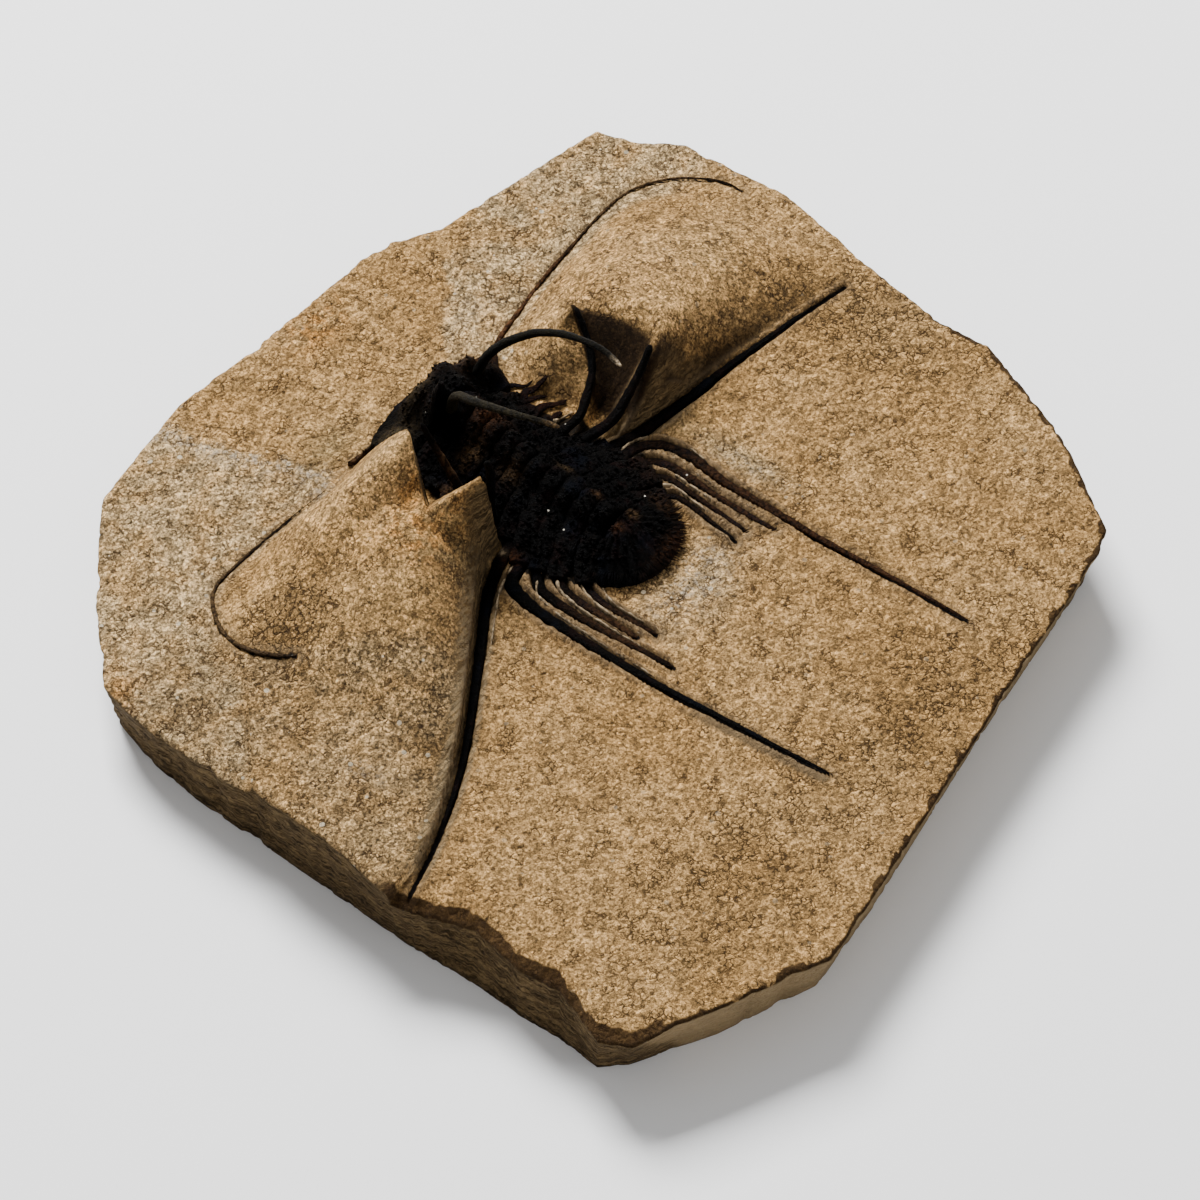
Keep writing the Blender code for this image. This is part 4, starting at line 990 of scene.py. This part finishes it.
def make_segment(i):
    bm = bmesh.new()
    y0 = FIRST - PITCH * i
    x0 = at(MIDLINE, y0)
    lean = (at(MIDLINE, y0 + 1) - at(MIDLINE, y0 - 1)) / 2
    left, right, left_sweep, right_sweep = MARGINS[i]
    top = AXIS_HEIGHT - AXIS_FALL * i
    path = []
    sizes = []
    for k in range(-STATIONS // 2, STATIONS // 2 + 1):
        s = 2 * k / STATIONS
        edge, sweep = (left, left_sweep) if s < 0 else (right, right_sweep)
        x = x0 + abs(s) * (edge - x0)
        y = y0 - lean * (x - x0) - sweep * s * s
        ground = stone(x, y)
        axis = top * (1 - 0.5 * (s / 0.3) ** 2)
        pleura = 0.62 * top * (1 - abs(s) ** 2.2)
        rise = max(higher(axis, pleura, 1.2), ground + 1.3)
        path.append(mm(x, y, (rise + ground) / 2))
        slant = abs(x - x0) * 2 * sweep / (edge - x0) ** 2 + lean * copysign(1, s)
        narrow = 1 - 0.2 * step(0.85, 1, abs(s))
        sizes.append((2 / hypot(1, slant) * narrow, (rise - ground) / 2 + 0.15))
    stations = [(centre, side, Vector((0, 0, 1)), width * 0.001, height * 0.001)
                for centre, (side, _), (width, height) in zip(path, frames(path), sizes)]
    skin(bm, stations, 32, 0.66)
    weather(bm, 0.34, 1.3, 7 * i)
    for hand, inwards in (("left", path), ("right", path[::-1])):
        name = f"{i + 1:02d}_{hand}"
        if name in SHORT:
            lift, wide, thick = (1, 1.1, 0.9) if hand == "left" else (0.35, 0.85, 0.4)
            route = [plan(inwards[6]), plan(inwards[0]), *SHORT[name]]
            spine(bm, lie(route, lift), wide, 0.6, thick, 10, 0.2)
        elif name in STANDING:
            half_width, route = STANDING[name]
            start = (*plan(inwards[5]), inwards[5].z * 1000 - PLANE + 0.6)
            spine(bm, [mm(*point) for point in curve([start, *route], 0.4)], half_width, 0.45, 1, 12, 0.08)
        else:
            half_width, route = LAID[name]
            path_there = lie([plan(inwards[10]), *route[:SEEN.get(name)]], 0.15)
            spine(bm, path_there, half_width, 0.6, 0.75, 12, 0.14, name)
    if i < len(BLADES):
        spine(bm, lie(BLADES[i], 0.3), 0.6, 0.6, 0.4, 8, 0.2)
    draw = random.Random(100 + i)
    for _ in range(SEGMENT_WARTS):
        s = draw.uniform(-0.96, 0.96)
        centre, side, up, width, height = stations[round((s + 1) / 2 * STATIONS)]
        across = draw.uniform(-0.7, 0.8)
        lift = sqrt(max(0, 1 - across * across))
        root = centre - side * (across * width) + up * (lift * height)
        out = Vector((0.25 * s, -0.4, 0.9 - 0.5 * abs(s)))
        thorn(bm, root, out + Vector((draw.uniform(-0.4, 0.4), draw.uniform(-0.3, 0.3), 0)),
              draw.uniform(0.0003, 0.0009), draw.uniform(0.0002, 0.00042))
    bmesh.ops.recalc_face_normals(bm, faces=bm.faces)
    return tinted(bm, TINTS)


for i in range(SEGMENTS):
    number = f"segment_{i + 1:02d}"
    piece("body_" + number, make_segment(i), black_shell, "thorax_" + number)


# ---- Pygidium: the tail shield ----
# A short half-round plate, ribbed like a fan from a low hub, with a dense fringe of fine bristles that
# runs round its free edge and lies over the stone.
TAIL_HALF_WIDTH = 9.8
TAIL_LENGTH = 7.2
TAIL_WIDEST = -1.6
TAIL_HEIGHT = 5.2
TAIL_EDGE = 0.9
TAIL_NET = 60
RIBS = 26
BRISTLES = 420
TAIL_WARTS = 160


def on_tail(share, turn):
    """Place and height of the plate at a share of the way out from its hub."""
    front = FIRST - PITCH * (SEGMENTS - 0.5)
    hub_y = 0.5 * (front + TAIL_WIDEST)
    c, s = cos(turn), sin(turn)
    reach = hub_y - (TAIL_WIDEST - TAIL_LENGTH) if s < 0 else front - hub_y - 0.6
    height = TAIL_EDGE + (TAIL_HEIGHT - TAIL_EDGE) * (1 - share ** 1.5)
    return at(MIDLINE, front) + share * TAIL_HALF_WIDTH * c, hub_y + share * reach * s, height


def make_tail():
    bm = bmesh.new()
    bmesh.ops.create_grid(bm, x_segments=TAIL_NET, y_segments=TAIL_NET, size=1)
    for vert in bm.verts:
        ring, _ = ring_and_turn(vert.co)
        turn = atan2(vert.co.y, vert.co.x)
        x, y, height = on_tail(ring, turn)
        rib = cos(RIBS * turn) * 0.22 * sin(pi * min(1, ring))
        lumps = 0.25 * rough(x, y, 1.6, 60, 3)
        vert.co = on_stone(x, y, height + rib + lumps)
    grown, rim = drawn_out(bm, rim_of(bm))
    for vert in grown:
        vert.co.z = (PLANE - 0.5) * 0.001
    bmesh.ops.contextual_create(bm, geom=rim)
    weather(bm, 0.12, 0.8, 50)
    draw = random.Random(77)
    for _ in range(BRISTLES):
        turn = pi * (1.02 + 0.96 * draw.random())
        root = mm(*on_tail(draw.uniform(0.84, 1), turn))
        sway = [draw.uniform(-most, most) for most in (0.2, 0.2, 0.25)]
        heading = Vector((cos(turn) + sway[0], sin(turn) + sway[1], sway[2]))
        thorn(bm, root, heading, draw.uniform(0.001, 0.0022), draw.uniform(0.0001, 0.00017), 5)
    for _ in range(TAIL_WARTS):
        turn = 2 * pi * draw.random()
        root = mm(*on_tail(sqrt(draw.uniform(0, 0.7)), turn))
        heading = Vector((0.5 * cos(turn), -0.6 + 0.3 * sin(turn), 0.8))
        thorn(bm, root, heading, draw.uniform(0.0004, 0.0011), draw.uniform(0.0002, 0.0004), 5)
    bmesh.ops.recalc_face_normals(bm, faces=bm.faces)
    return tinted(bm, TINTS)


piece("tail_shield", make_tail(), shell("fringe_shell", 0.8, 0.55), "pygidium")


# ---- Floor, light and camera ----
# A plain pale floor, a broad soft light above and behind the block, and a weak fill from the front.
bm = bmesh.new()
bmesh.ops.create_grid(bm, x_segments=1, y_segments=1, size=3)
mesh = bpy.data.meshes.new("floor")
bm.to_mesh(mesh)
bm.free()
floor = bpy.data.objects.new("floor", mesh)
bpy.context.collection.objects.link(floor)
pale = bpy.data.materials.new("pale_floor")
pale.use_nodes = True
shader = pale.node_tree.nodes["Principled BSDF"]
shader.inputs["Base Color"].default_value = (0.93, 0.93, 0.93, 1)
shader.inputs["Roughness"].default_value = 0.9
mesh.materials.append(pale)


def lamp(name, heading, distance, size, power):
    """Square soft light that shines on the middle of the block from a heading."""
    light = bpy.data.lights.new(name, "AREA")
    light.shape = "SQUARE"
    light.size = size
    light.energy = power
    made = bpy.data.objects.new(name, light)
    out = Vector(heading).normalized()
    made.location = out * distance
    made.rotation_euler = out.to_track_quat("Z", "Y").to_euler()
    bpy.context.collection.objects.link(made)


lamp("key", (0.45, 0.7, 0.8), 1.4, 0.6, 63)
lamp("fill", (-0.6, -0.9, 1.1), 1.8, 1.6, 5)
lamp("low", (0.35, -1, 0.14), 1.6, 0.5, 8)
world = bpy.data.worlds.new("studio")
bpy.context.scene.world = world
world.use_nodes = True
sky = world.node_tree.nodes["Background"]
sky.inputs["Color"].default_value = (1, 1, 1, 1)
sky.inputs["Strength"].default_value = 0.38

to_camera = Vector((-0.50411581, -0.36748046, 0.78155317))
right = Vector((0.58906333, -0.80808687, 0))
up = to_camera.cross(right)
lens = bpy.data.cameras.new("camera")
lens.sensor_width = 36
lens.lens = 300
lens.clip_start = 0.05
camera = bpy.data.objects.new("camera", lens)
bpy.context.collection.objects.link(camera)
aim = Vector((-0.00826, -0.004165, 0.01275))
turned = Matrix((right, up, to_camera)).transposed().to_4x4()
camera.matrix_world = Matrix.Translation(aim + to_camera * 1.5) @ turned
bpy.context.scene.camera = camera
